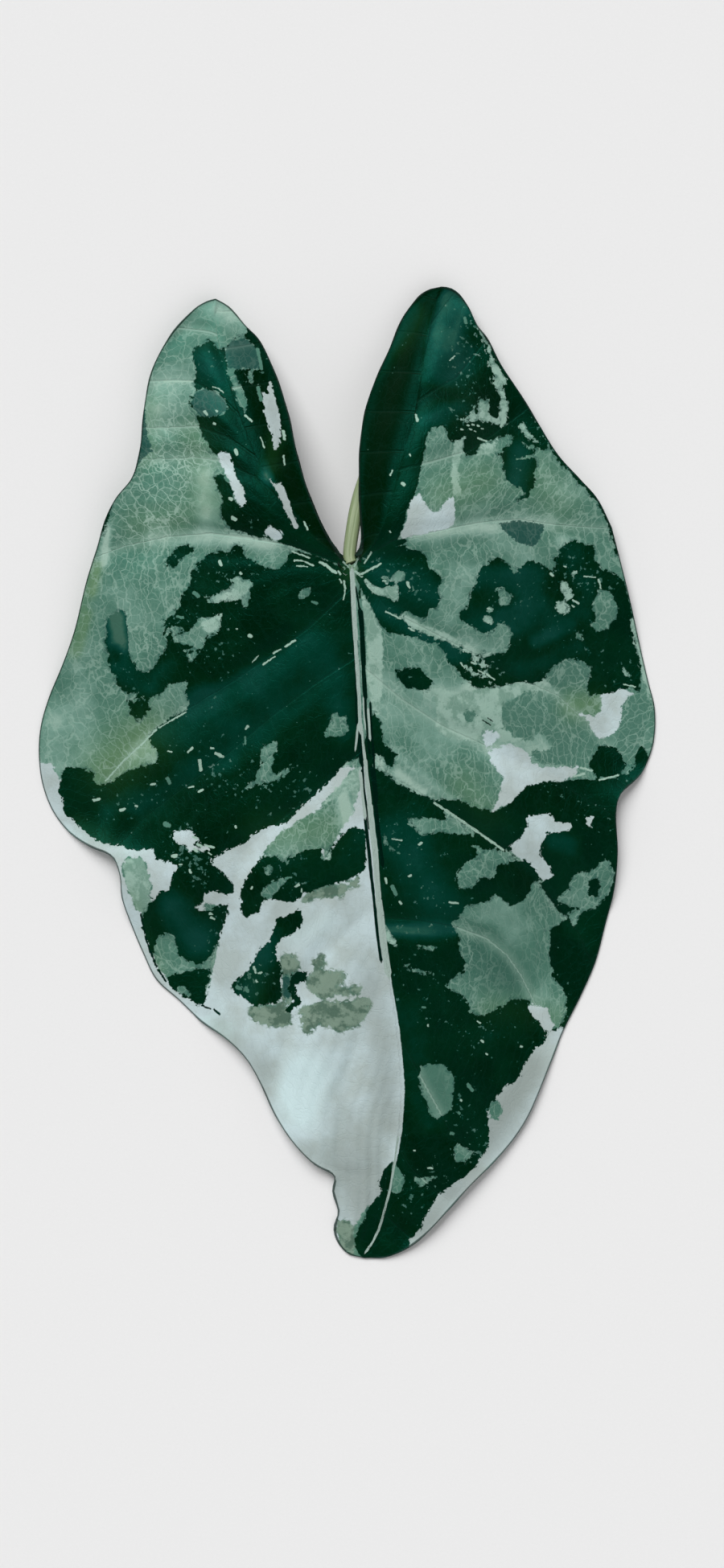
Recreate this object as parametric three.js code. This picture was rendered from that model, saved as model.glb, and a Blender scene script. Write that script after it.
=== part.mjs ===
// A single leaf of a variegated alocasia hybrid, picked and laid flat with its upper side up:
// an arrow-shaped blade with two long backward lobes, and the leaf stalk that carries it.
// Sizes are in millimetres. +Z is up, the leaf's tip points to -Y and its two lobes to +Y.
// The blade is arched: it stands on its two bellies, its lower flanks and its tip.
import * as THREE from "three";
import { mergeVertices } from "three/addons/utils/BufferGeometryUtils.js";

// Blade: how thick it is, and how far its ribs stand out below it
const bladeThickness = 1.0;
const ribDepthAtStalk = 4.6;
const ribDepthAtTip = 0.6;
const ribHalfWidth = 3.0;

// Blade: its arch between a rib and the edge, as a share of that distance
const crownShare = 0.03;

// Blade: the furrows over its side veins, on the upper side
const furrowDepth = 2.4;
const furrowHalfWidth = 7.5;

// Stalk: its radius where it meets the blade and at its cut end, and its shallow channel
const stalkRadius = 3.0;
const stalkEndRadius = 4.1;
const channelDepth = 0.5;
const stalkSides = 14;
const stalkSteps = 22;

// How finely the blade is divided: along the midrib, along a lobe's rib, and from rib to edge
const midribSteps = 40;
const lobeSteps = 18;
const edgeShares = [0, 0.025, 0.08, 0.18, 0.32, 0.47, 0.62, 0.76, 0.88, 0.95, 1];

// The ribs' centre lines on the upper side, as x, y and height, from the stalk outwards
const junction = [2.3, 97.5, 36];
const midrib = [
  junction, [4, 70, 35], [6.1, 40, 32.5], [8.2, 10, 30], [11.2, -20, 27.5], [14.6, -50, 24.5],
  [18, -80, 21], [22, -110, 17], [25.2, -140, 13], [25.2, -160, 10.3], [23, -180, 7.8],
  [19.7, -200, 5], [13.8, -220, 2.4], [9.5, -227, 1.6],
];
const leftRib = [
  junction, [-16, 111, 38], [-31, 128, 38], [-42, 148, 34], [-50, 168, 28], [-57, 188, 21],
  [-61, 206, 14], [-62.5, 220, 9],
];
const rightRib = [
  junction, [12, 106.4, 38.5], [17.2, 116.8, 40], [24.5, 142.8, 37.5], [31.3, 166.7, 31],
  [35.4, 189.5, 23.5], [39.6, 212.3, 14], [42.7, 225.8, 9],
];

// The blade's edge, as x, y and height, in the six stretches between its corners
const leftSinus = [-2.4, 100, 34.5];
const leftLobeTip = [-62.3, 225.3, 7];
const leftShoulder = [-118.6, 106.6, 9];
const leafTip = [8.5, -230.9, 1];
const rightShoulder = [125.7, 116.8, 7];
const rightLobeTip = [44.8, 231, 7];
const rightSinus = [4.8, 99.4, 34.5];

const leftInnerEdge = [
  leftSinus, [-8.6, 110, 34], [-17.3, 130, 31], [-23.3, 150, 27], [-27.7, 170, 22],
  [-34.2, 190, 16], [-42, 206, 11], [-51, 217.5, 8], leftLobeTip,
];
const leftOuterEdge = [
  leftLobeTip, [-72.3, 220.4, 7.5], [-83.5, 208, 8.5], [-91.9, 192.7, 9.5], [-96.2, 173, 10.5],
  [-97.9, 154.5, 11.5], [-101.7, 140.3, 12], [-109.4, 130.6, 11], [-114.5, 120.8, 10],
  leftShoulder,
];
const leftSideEdge = [
  leftShoulder, [-123.5, 91.3, 9], [-129.5, 67.3, 7], [-135.5, 51, 4], [-142, 35.7, 1],
  [-145.9, 21.5, -1], [-146.6, 7.4, -1.5], [-144.8, -5.7, -1.5], [-139.9, -18.2, -0.5],
  [-132.2, -28, 2], [-122.4, -34.5, 5], [-111.5, -39.4, 8], [-107.8, -48.7, 8.5],
  [-107, -58.9, 6.5], [-102.4, -72.8, 2], [-97.1, -85.5, -1], [-90.7, -98.3, -1.5],
  [-80.1, -107.9, -1], [-69.4, -118, 2], [-57.7, -126, 5], [-48.1, -135.5, 6],
  [-40.7, -148.3, 5], [-33.8, -163.2, 5], [-25.3, -176, 6], [-15.2, -186.1, 5.5],
  [-5.7, -191.4, 4], [-6.5, -199, 3], [-3.8, -208.9, 2.4], [-5.9, -216.6, 1.8],
  [-4, -223.5, 1.2], [0.3, -228.7, 0.6], leafTip,
];
const rightSideEdge = [
  leafTip, [19.3, -230.2, 1.6], [29.6, -225.3, 3], [40, -216.7, 4.5], [48.6, -207.2, 5],
  [58.1, -196.8, 5], [69.3, -185.6, 4], [78.8, -174.9, 3], [86.1, -163.7, 3],
  [91.7, -151.2, 3], [97.5, -136.6, 2], [103.4, -121.8, 0.5], [110.9, -106.8, -1.2],
  [118.3, -89.8, -1.5], [123.1, -71.7, 0], [127.1, -55.8, 3], [128.7, -37.7, 6],
  [127.8, -18.3, 8], [129.9, -10, 7], [140.3, 0.4, 2.5], [145.8, 13.9, -1],
  [146.6, 30.5, -1.5], [143.4, 44, -1], [139.3, 61.7, 2], [134.6, 82.4, 5],
  [129.9, 101.2, 6], rightShoulder,
];
const rightOuterEdge = [
  rightShoulder, [119, 130.3, 8], [110.7, 139.6, 9], [100.3, 151, 9.5], [89.9, 167.7, 9],
  [81.6, 181.2, 9], [73.3, 193.6, 10], [65.5, 209, 10], [59.8, 220.1, 8.5],
  [54.5, 228.2, 7.5], rightLobeTip,
];
const rightInnerEdge = [
  rightLobeTip, [35.4, 227.4, 6.5], [26.6, 216.5, 8], [20.5, 202, 11], [13.1, 185.3, 14.5],
  [8.7, 171.8, 18.5], [6.3, 156.2, 23.5], [5.8, 139.6, 28], [6.4, 122, 31.5],
  [7.4, 110, 33.2], [6.9, 103, 34], rightSinus,
];

// The side veins, as x and y: the blade dips along them and swells between them
const sideVeins = [
  [[-15, 103], [-45, 110.5], [-85, 112], [-118, 104]],
  [[3, 88], [-27, 62], [-55, 42], [-91, 20.5], [-120, -33]],
  [[5, 55], [-35, 27], [-75, -5], [-110, -36]],
  [[8, 12], [-35, -25], [-53, -52], [-63, -85], [-71, -114]],
  [[16, -60], [-12, -86], [-28, -120], [-36, -150]],
  [[19, -88], [3, -135], [-6, -187]],
  [[-31, 128], [-60, 146], [-97, 156]],
  [[-50, 168], [-72, 184], [-89, 196]],
  [[24, 109], [51, 116], [80, 120], [126, 116]],
  [[10, 88], [31, 70.5], [70, 50], [100, 36.5], [135, -4]],
  [[7, 50], [45, 22], [90, 2], [127, -20]],
  [[9, 12], [34, -9], [80, -40], [104, -68], [116, -92]],
  [[16, -68], [55, -76], [76, -84], [99, -130]],
  [[24.5, -125], [50, -172], [70, -184]],
  [[24, 142], [58, 152], [84, 172]],
  [[33, 175], [52, 187], [66, 206]],
];

// The stalk's centre line, from just clear of the blade to its cut end on the surface
const stalkPath = [
  [1.4, 100.8, 32.4], [2.9, 115, 28.8], [6, 130, 24.6], [12, 147, 19.4],
  [18, 161, 14.6], [24, 176, 9.3], [30, 192, 3.6],
];

// A curve through hand-placed points, cut in equal steps
function stations(points, steps) {
  const route = new THREE.CatmullRomCurve3(
    points.map((point) => new THREE.Vector3(...point)), false, "centripetal");
  return route.getSpacedPoints(steps);
}

// How far a point lies from a line of straight stretches, seen from above
function distanceToVein(x, y, vein) {
  let nearest = Infinity;
  for (let i = 0; i + 1 < vein.length; i += 1) {
    const [startX, startY] = vein[i];
    const runX = vein[i + 1][0] - startX;
    const runY = vein[i + 1][1] - startY;
    const along = ((x - startX) * runX + (y - startY) * runY) / (runX ** 2 + runY ** 2);
    const share = Math.min(Math.max(along, 0), 1);
    nearest = Math.min(nearest, Math.hypot(x - startX - share * runX, y - startY - share * runY));
  }
  return nearest;
}

// The dip over the side veins at a point, deepest half way between rib and edge
function furrowAt(x, y, share) {
  let dip = 0;
  for (const vein of sideVeins) {
    dip = Math.max(dip, Math.exp(-((distanceToVein(x, y, vein) / furrowHalfWidth) ** 2)));
  }
  return furrowDepth * dip * Math.sin(Math.PI * share) ** 0.7;
}

// One line of surface points from a rib to the edge, each with its upper and lower height
function crossLine(ribPoint, edgePoint, shareAlongRib) {
  const span = Math.hypot(edgePoint.x - ribPoint.x, edgePoint.y - ribPoint.y);
  const ribDepth = THREE.MathUtils.lerp(ribDepthAtStalk, ribDepthAtTip, shareAlongRib);
  return edgeShares.map((share) => {
    const x = THREE.MathUtils.lerp(ribPoint.x, edgePoint.x, share);
    const y = THREE.MathUtils.lerp(ribPoint.y, edgePoint.y, share);
    const fall = (1 - Math.cos(Math.PI * share)) / 2;
    const crown = crownShare * span * Math.sin(Math.PI * share) ** 2;
    const upper = THREE.MathUtils.lerp(ribPoint.z, edgePoint.z, fall) + crown - furrowAt(x, y, share);
    const rib = ribDepth * Math.exp(-((share * span / ribHalfWidth) ** 2));
    const lower = Math.max(upper - bladeThickness - rib, 0);
    return { x, y, upper: Math.max(upper, bladeThickness), lower };
  });
}

// All cross lines in one round of the blade: the left lobe, the left side, the right side,
// the right lobe and the short bridge over the stalk
function crossLines() {
  const midribPoints = stations(midrib, midribSteps);
  const leftRibPoints = stations(leftRib, lobeSteps);
  const rightRibPoints = stations(rightRib, lobeSteps);
  const start = [midribPoints[0], midribPoints[0], midribPoints[0]];
  const stretches = [
    { ribPoints: leftRibPoints, outwards: true, edge: leftInnerEdge },
    { ribPoints: leftRibPoints, outwards: false, edge: leftOuterEdge },
    { ribPoints: midribPoints, outwards: true, edge: leftSideEdge },
    { ribPoints: midribPoints, outwards: false, edge: rightSideEdge },
    { ribPoints: rightRibPoints, outwards: true, edge: rightOuterEdge },
    { ribPoints: rightRibPoints, outwards: false, edge: rightInnerEdge },
    { ribPoints: start, outwards: null, edge: [rightSinus, leftSinus] },
  ];
  const lines = [];
  for (const { ribPoints, outwards, edge } of stretches) {
    const steps = ribPoints.length - 1;
    const edgePoints = stations(edge, steps);
    for (let i = 0; i < steps; i += 1) {
      const along = outwards === null ? 0 : outwards ? i : steps - i;
      lines.push(crossLine(ribPoints[along], edgePoints[i], along / steps));
    }
  }
  return lines;
}

// A closed solid from a list of corner positions and quads, with doubled corners joined
function closedGeometry(positions, triangles) {
  const loose = new THREE.BufferGeometry();
  loose.setAttribute("position", new THREE.Float32BufferAttribute(positions, 3));
  loose.setIndex(triangles);
  const joined = mergeVertices(loose, 1e-4);
  const index = joined.getIndex().array;
  const kept = [];
  for (let i = 0; i < index.length; i += 3) {
    const [a, b, c] = [index[i], index[i + 1], index[i + 2]];
    if (a !== b && b !== c && c !== a) {
      kept.push(a, b, c);
    }
  }
  joined.setIndex(kept);
  joined.computeVertexNormals();
  return joined;
}

// The blade: an upper and a lower skin over the cross lines, and a rim that joins them
function bladeGeometry() {
  const lines = crossLines();
  const perLine = edgeShares.length;
  const positions = [];
  for (const line of lines) {
    for (const point of line) {
      positions.push(point.x, point.y, point.upper);
      positions.push(point.x, point.y, point.lower);
    }
  }
  const corner = (line, row, side) => 2 * ((line % lines.length) * perLine + row) + side;
  const triangles = [];
  const quad = (a, b, c, d) => triangles.push(a, b, c, a, c, d);
  for (let i = 0; i < lines.length; i += 1) {
    for (let row = 0; row + 1 < perLine; row += 1) {
      quad(corner(i, row, 0), corner(i, row + 1, 0), corner(i + 1, row + 1, 0), corner(i + 1, row, 0));
      quad(corner(i, row, 1), corner(i + 1, row, 1), corner(i + 1, row + 1, 1), corner(i, row + 1, 1));
    }
    const rim = perLine - 1;
    quad(corner(i, rim, 0), corner(i, rim, 1), corner(i + 1, rim, 1), corner(i + 1, rim, 0));
  }
  return closedGeometry(positions, triangles);
}

// The stalk: rings along its path, each with a shallow channel on top, and two flat ends
function stalkGeometry() {
  const centres = stations(stalkPath, stalkSteps);
  const positions = [];
  const across = new THREE.Vector3();
  const upward = new THREE.Vector3();
  const ahead = new THREE.Vector3();
  centres.forEach((centre, step) => {
    const next = centres[Math.min(step + 1, stalkSteps)];
    ahead.subVectors(next, centres[Math.max(step - 1, 0)]).normalize();
    across.crossVectors(new THREE.Vector3(0, 0, 1), ahead).normalize();
    upward.crossVectors(ahead, across);
    const radius = THREE.MathUtils.lerp(stalkRadius, stalkEndRadius, step / stalkSteps);
    for (let side = 0; side < stalkSides; side += 1) {
      const turn = 2 * Math.PI * side / stalkSides;
      const channel = channelDepth * Math.max(Math.sin(turn), 0) ** 8;
      const reach = radius - channel;
      const point = centre.clone()
        .addScaledVector(across, reach * Math.cos(turn))
        .addScaledVector(upward, reach * Math.sin(turn));
      positions.push(point.x, point.y, Math.max(point.z, 0));
    }
  });
  const triangles = [];
  for (let step = 0; step < stalkSteps; step += 1) {
    for (let side = 0; side < stalkSides; side += 1) {
      const a = step * stalkSides + side;
      const b = step * stalkSides + (side + 1) % stalkSides;
      triangles.push(a, b, b + stalkSides, a, b + stalkSides, a + stalkSides);
    }
  }
  const last = stalkSteps * stalkSides;
  for (let side = 1; side + 1 < stalkSides; side += 1) {
    triangles.push(0, side + 1, side);
    triangles.push(last, last + side, last + side + 1);
  }
  return closedGeometry(positions, triangles);
}

const bladeMaterial = new THREE.MeshStandardMaterial({
  color: 0x6f9483, roughness: 0.42, metalness: 0,
});
const stalkMaterial = new THREE.MeshStandardMaterial({
  color: 0x7c8a62, roughness: 0.5, metalness: 0,
});

function named(name, geometry, material) {
  const mesh = new THREE.Mesh(geometry, material);
  mesh.name = name;
  return mesh;
}

const leaf = new THREE.Group();
leaf.add(named("leaf_blade", bladeGeometry(), bladeMaterial));
leaf.add(named("petiole", stalkGeometry(), stalkMaterial));

export default leaf;
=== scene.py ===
# A variegated alocasia leaf, picked and lying arched on a pale surface, seen from straight above.
import math
import bpy
import numpy as np
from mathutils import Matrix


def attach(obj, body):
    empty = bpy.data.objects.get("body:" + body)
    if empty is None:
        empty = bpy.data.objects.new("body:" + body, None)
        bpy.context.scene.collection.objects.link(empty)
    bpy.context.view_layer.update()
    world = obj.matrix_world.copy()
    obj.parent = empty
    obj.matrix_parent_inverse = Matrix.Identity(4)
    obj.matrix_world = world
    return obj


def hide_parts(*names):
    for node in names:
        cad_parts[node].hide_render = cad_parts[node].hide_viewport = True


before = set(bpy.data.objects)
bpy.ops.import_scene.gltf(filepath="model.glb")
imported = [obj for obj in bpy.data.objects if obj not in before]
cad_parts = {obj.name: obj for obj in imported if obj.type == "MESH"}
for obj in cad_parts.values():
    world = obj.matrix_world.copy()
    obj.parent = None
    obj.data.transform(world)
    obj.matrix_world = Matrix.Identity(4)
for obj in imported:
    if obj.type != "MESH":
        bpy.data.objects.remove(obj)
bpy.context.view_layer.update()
bpy.ops.object.select_all(action="DESELECT")
mm = 0.001
mergeDistance = 1e-6                 # metres
smoothAngle = math.radians(50)       # edges flatter than this are shaded smooth
groundGap = 0.02                     # mm between the leaf and what it lies on


# Lengths and places below are in millimetres until they go into Blender.
# Colours are sRGB hex values.
def hexColour(code):
    channels = [int(code[i:i + 2], 16) / 255 for i in (1, 3, 5)]
    linear = [c / 12.92 if c <= 0.04045 else ((c + 0.055) / 1.055) ** 2.4 for c in channels]
    return (*linear, 1.0)


def addNode(tree, kind, inputs=None, out=0, stops=None, **settings):
    node = tree.nodes.new(kind)
    for name, value in settings.items():
        setattr(node, name, value)
    for number, (stop, code) in enumerate(stops or []):
        elements = node.color_ramp.elements
        element = elements[number] if number < 2 else elements.new(stop)
        element.position = stop
        element.color = hexColour(code)
    for socket, value in (inputs or {}).items():
        if isinstance(value, bpy.types.NodeSocket):
            tree.links.new(value, node.inputs[socket])
        else:
            node.inputs[socket].default_value = value
    return node.outputs[out]


# Camera, floor and light

view = {
    "centre": (7.2, -5.1, 18.0),   # the middle of the picture, half way up the leaf
    "height": 741.0,               # what the picture shows from top to bottom
    "distance": 2200.0,            # far off, so that the leaf is hardly foreshortened
    "sensor": 36.0,
}

light = {
    "keyStrength": 2.9,
    "keyTurn": (-42, -20, 0),      # degrees; a large soft light towards the lobes
    "keySpread": 45,               # degrees that the light covers in the sky
    "fillStrength": 0.75,
    "fillTurn": (38, 22, 0),
    "fillSpread": 70,
    "lightColour": "#ffffff",
    "horizon": "#e6e6e6",
    "zenith": "#303030",
    "skyStrength": 0.75,
    "skyFade": (0.05, 0.75),       # heights in the sky where it starts and stops to darken
    "lampHeight": 1.5,             # metres
}

ground = {
    "size": 12,                    # metres, so that its edges are out of the picture
    "tone": "#efefef",
    "tonePale": "#f3f3f3",
    "grain": 900.0,                # grains in a metre
    "roughness": 0.85,
    "sheen": 0.15,
}


def makeCamera():
    x, y, z = view["centre"]
    place = (x * mm, y * mm, (z + view["distance"]) * mm)
    bpy.ops.object.camera_add(location=place, rotation=(0, 0, 0))
    camera = bpy.context.object
    camera.name = "viewFromAbove"
    camera.data.sensor_width = view["sensor"]
    camera.data.lens = view["sensor"] * view["distance"] / view["height"]
    bpy.context.scene.camera = camera
    camera.select_set(False)


def makeFloor():
    bpy.ops.mesh.primitive_plane_add(size=ground["size"], location=(0, 0, 0))
    floor = bpy.context.object
    floor.name = "pale_surface"
    paint = bpy.data.materials.new("matt white board")   # pale, even, without gloss
    paint.use_nodes = True
    tree = paint.node_tree
    surface = tree.nodes["Principled BSDF"]
    place = addNode(tree, "ShaderNodeTexCoord", out="Object")
    grain = addNode(tree, "ShaderNodeTexNoise", {
        "Vector": place, "Scale": ground["grain"], "Detail": 2.0,
    })
    tone = addNode(tree, "ShaderNodeMix", {
        0: grain, 6: hexColour(ground["tone"]), 7: hexColour(ground["tonePale"]),
    }, out=2, data_type="RGBA")
    tree.links.new(tone, surface.inputs["Base Color"])
    surface.inputs["Roughness"].default_value = ground["roughness"]
    surface.inputs["Specular IOR Level"].default_value = ground["sheen"]
    floor.data.materials.append(paint)
    floor.select_set(False)


def makeLight():
    for name in ("key", "fill"):
        turn = [math.radians(angle) for angle in light[name + "Turn"]]
        place = (0, 0, light["lampHeight"])
        bpy.ops.object.light_add(type="SUN", location=place, rotation=turn)
        lamp = bpy.context.object
        lamp.name = name + "Light"
        lamp.data.energy = light[name + "Strength"]
        lamp.data.angle = math.radians(light[name + "Spread"])
        lamp.data.color = hexColour(light["lightColour"])[:3]
        lamp.select_set(False)
    sky = bpy.data.worlds.new("studio sky")
    bpy.context.scene.world = sky
    sky.use_nodes = True
    tree = sky.node_tree
    direction = addNode(tree, "ShaderNodeTexCoord", out="Generated")
    height = addNode(tree, "ShaderNodeSeparateXYZ", {0: direction}, out="Z")
    low, high = light["skyFade"]
    climb = addNode(tree, "ShaderNodeMapRange", {
        "Value": height, "From Min": low, "From Max": high,
    }, interpolation_type="SMOOTHSTEP")
    colour = addNode(tree, "ShaderNodeMix", {
        0: climb, 6: hexColour(light["horizon"]), 7: hexColour(light["zenith"]),
    }, out=2, data_type="RGBA")
    background = tree.nodes["Background"]
    tree.links.new(colour, background.inputs["Color"])
    background.inputs["Strength"].default_value = light["skyStrength"]
    bpy.context.scene.view_settings.view_transform = "Standard"


makeCamera()
makeFloor()
makeLight()
print("stage: camera, floor and light")


# The leaf's lines: ribs from the stalk outwards, and the edge in stretches between its corners

junction = (2.3, 97.5, 36)
midrib = [
    junction, (4, 70, 35), (6.1, 40, 32.5), (8.2, 10, 30), (11.2, -20, 27.5), (14.6, -50, 24.5),
    (18, -80, 21), (22, -110, 17), (25.2, -140, 13), (25.2, -160, 10.3), (23, -180, 7.8), (19.7, -200, 5),
    (13.8, -220, 2.4), (9.5, -227, 1.6),
]
leftRib = [
    junction, (-16, 111, 38), (-31, 128, 38), (-42, 148, 34), (-50, 168, 28), (-57, 188, 21),
    (-61, 206, 14), (-62.5, 220, 9),
]
rightRib = [
    junction, (12, 106.4, 38.5), (17.2, 116.8, 40), (24.5, 142.8, 37.5), (31.3, 166.7, 31),
    (35.4, 189.5, 23.5), (39.6, 212.3, 14), (42.7, 225.8, 9),
]

leftSinus = (-2.4, 100, 34.5)
leftLobeTip = (-62.3, 225.3, 7)
leftShoulder = (-118.6, 106.6, 9)
leafTip = (8.5, -230.9, 1)
rightShoulder = (125.7, 116.8, 7)
rightLobeTip = (44.8, 231, 7)
rightSinus = (4.8, 99.4, 34.5)

leftInnerEdge = [
    leftSinus, (-8.6, 110, 34), (-17.3, 130, 31), (-23.3, 150, 27), (-27.7, 170, 22), (-34.2, 190, 16),
    (-42, 206, 11), (-47.9, 212.3, 9.3), (-53.6, 219, 8), (-57, 222.3, 7.4), leftLobeTip,
]
leftOuterEdge = [
    leftLobeTip, (-66.1, 224.2, 7.1), (-70.7, 221.8, 7.3), (-74.3, 218.5, 7.6), (-83.5, 208, 8.5),
    (-91.9, 192.7, 9.5), (-96.2, 173, 10.5), (-97.9, 154.5, 11.5), (-101.7, 140.3, 12), (-109.4, 130.6, 11),
    (-114.5, 120.8, 10), leftShoulder,
]
leftSideEdge = [
    leftShoulder, (-123.5, 91.3, 9), (-129.5, 67.3, 7), (-135.5, 51, 4), (-142, 35.7, 1),
    (-145.9, 21.5, -1), (-146.6, 7.4, -1.5), (-144.8, -5.7, -1.5), (-139.9, -18.2, -0.5), (-132.2, -28, 2),
    (-122.4, -34.5, 5), (-111.5, -39.4, 8), (-107.8, -48.7, 8.5), (-107, -58.9, 6.5), (-102.4, -72.8, 2),
    (-97.1, -85.5, -1), (-90.7, -98.3, -1.5), (-80.1, -107.9, -1), (-69.4, -118, 2), (-57.7, -126, 5),
    (-48.1, -135.5, 6), (-40.7, -148.3, 5), (-33.8, -163.2, 5), (-25.3, -176, 6), (-15.2, -186.1, 5.5),
    (-5.7, -191.4, 4), (-6.5, -199, 3), (-3.8, -208.9, 2.4), (-5.9, -216.6, 1.8), (-4, -223.5, 1.2),
    (0.3, -228.7, 0.6), leafTip,
]
rightSideEdge = [
    leafTip, (19.3, -230.2, 1.6), (29.6, -225.3, 3), (40, -216.7, 4.5), (48.6, -207.2, 5),
    (58.1, -196.8, 5), (69.3, -185.6, 4), (78.8, -174.9, 3), (86.1, -163.7, 3), (91.7, -151.2, 3),
    (97.5, -136.6, 2), (103.4, -121.8, 0.5), (110.9, -106.8, -1.2), (118.3, -89.8, -1.5), (123.1, -71.7, 0),
    (127.1, -55.8, 3), (128.7, -37.7, 6), (127.8, -18.3, 8), (129.9, -10, 7), (140.3, 0.4, 2.5),
    (145.8, 13.9, -1), (146.6, 30.5, -1.5), (143.4, 44, -1), (139.3, 61.7, 2), (134.6, 82.4, 5),
    (129.9, 101.2, 6), rightShoulder,
]
rightOuterEdge = [
    rightShoulder, (119, 130.3, 8), (110.7, 139.6, 9), (100.3, 151, 9.5), (89.9, 167.7, 9),
    (81.6, 181.2, 9), (73.3, 193.6, 10), (66.6, 206, 10), (62.1, 212, 9.5), (60.2, 216, 9),
    (58.4, 220.2, 8.4), (56.1, 223.7, 7.9), (53.1, 227.3, 7.5), (49.5, 229.8, 7.2), rightLobeTip,
]
rightInnerEdge = [
    rightLobeTip, (40.1, 230.1, 6.8), (35.3, 227.4, 6.8), (31.8, 223.7, 7), (26.6, 216.5, 8),
    (20.5, 202, 11), (13.1, 185.3, 14.5), (8.7, 171.8, 18.5), (6.3, 156.2, 23.5), (5.8, 139.6, 28),
    (6.4, 122, 31.5), (7.4, 110, 33.2), (6.9, 103, 34), rightSinus,
]

# The side veins on each side, from the lobe to the leaf's tip, each from its rib outwards
leftVeins = [
    [(-50, 168), (-60, 178), (-72, 185), (-80, 186.2), (-89, 186)],
    [(-42, 148), (-56, 158), (-70, 163.5), (-93, 163.5)],
    [(-31, 128), (-44, 140), (-60, 147.5), (-72, 149.3), (-97, 149)],
    [(2, 97), (-15, 103), (-30, 107.5), (-45, 110.5), (-65, 113), (-85, 112), (-105, 108), (-118, 103)],
    [(3, 88), (-18, 68), (-40, 52), (-55, 42), (-76, 29.5), (-91, 20.5), (-99.6, 12.8), (-112.7, -4),
     (-120, -35)],
    [(5, 55), (-15, 42), (-35, 27), (-55, 10), (-75, -5), (-95, -20), (-110, -35)],
    [(8, 12), (-5, 0), (-20, -13), (-35, -25), (-50, -38), (-56, -61), (-63, -85.5), (-68, -109),
     (-72, -115)],
    [(16, -60), (2, -72), (-12, -86), (-22, -103), (-28, -120), (-36, -150)],
    [(19, -88), (10, -115), (3, -135), (-3, -155), (-6, -188)],
]
rightVeins = [
    [(33, 175), (42, 181), (52, 187), (66, 206)],
    [(24, 142), (40, 146), (58, 152), (84, 172)],
    [(3, 98), (24.5, 110), (44, 114), (62, 118), (80.6, 120.2), (98, 118), (126, 116)],
    [(3, 96), (10, 88), (20, 76), (31, 70.5), (58, 57), (70, 50), (82, 44), (100, 36.5), (120, 18.5),
     (135.5, -4.5)],
    [(7, 50), (25, 35), (45, 22), (90, 2), (127, -20)],
    [(9, 12), (20, -1), (34, -9), (54, -23), (72, -34), (88, -46.5), (99, -62), (110, -76), (117, -92)],
    [(16, -68), (35, -70), (52, -73), (66, -78), (76, -86), (83, -96), (90, -110), (99, -131)],
    [(24.5, -125), (38, -150), (50, -172), (60, -181), (70, -185)],
]


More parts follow.
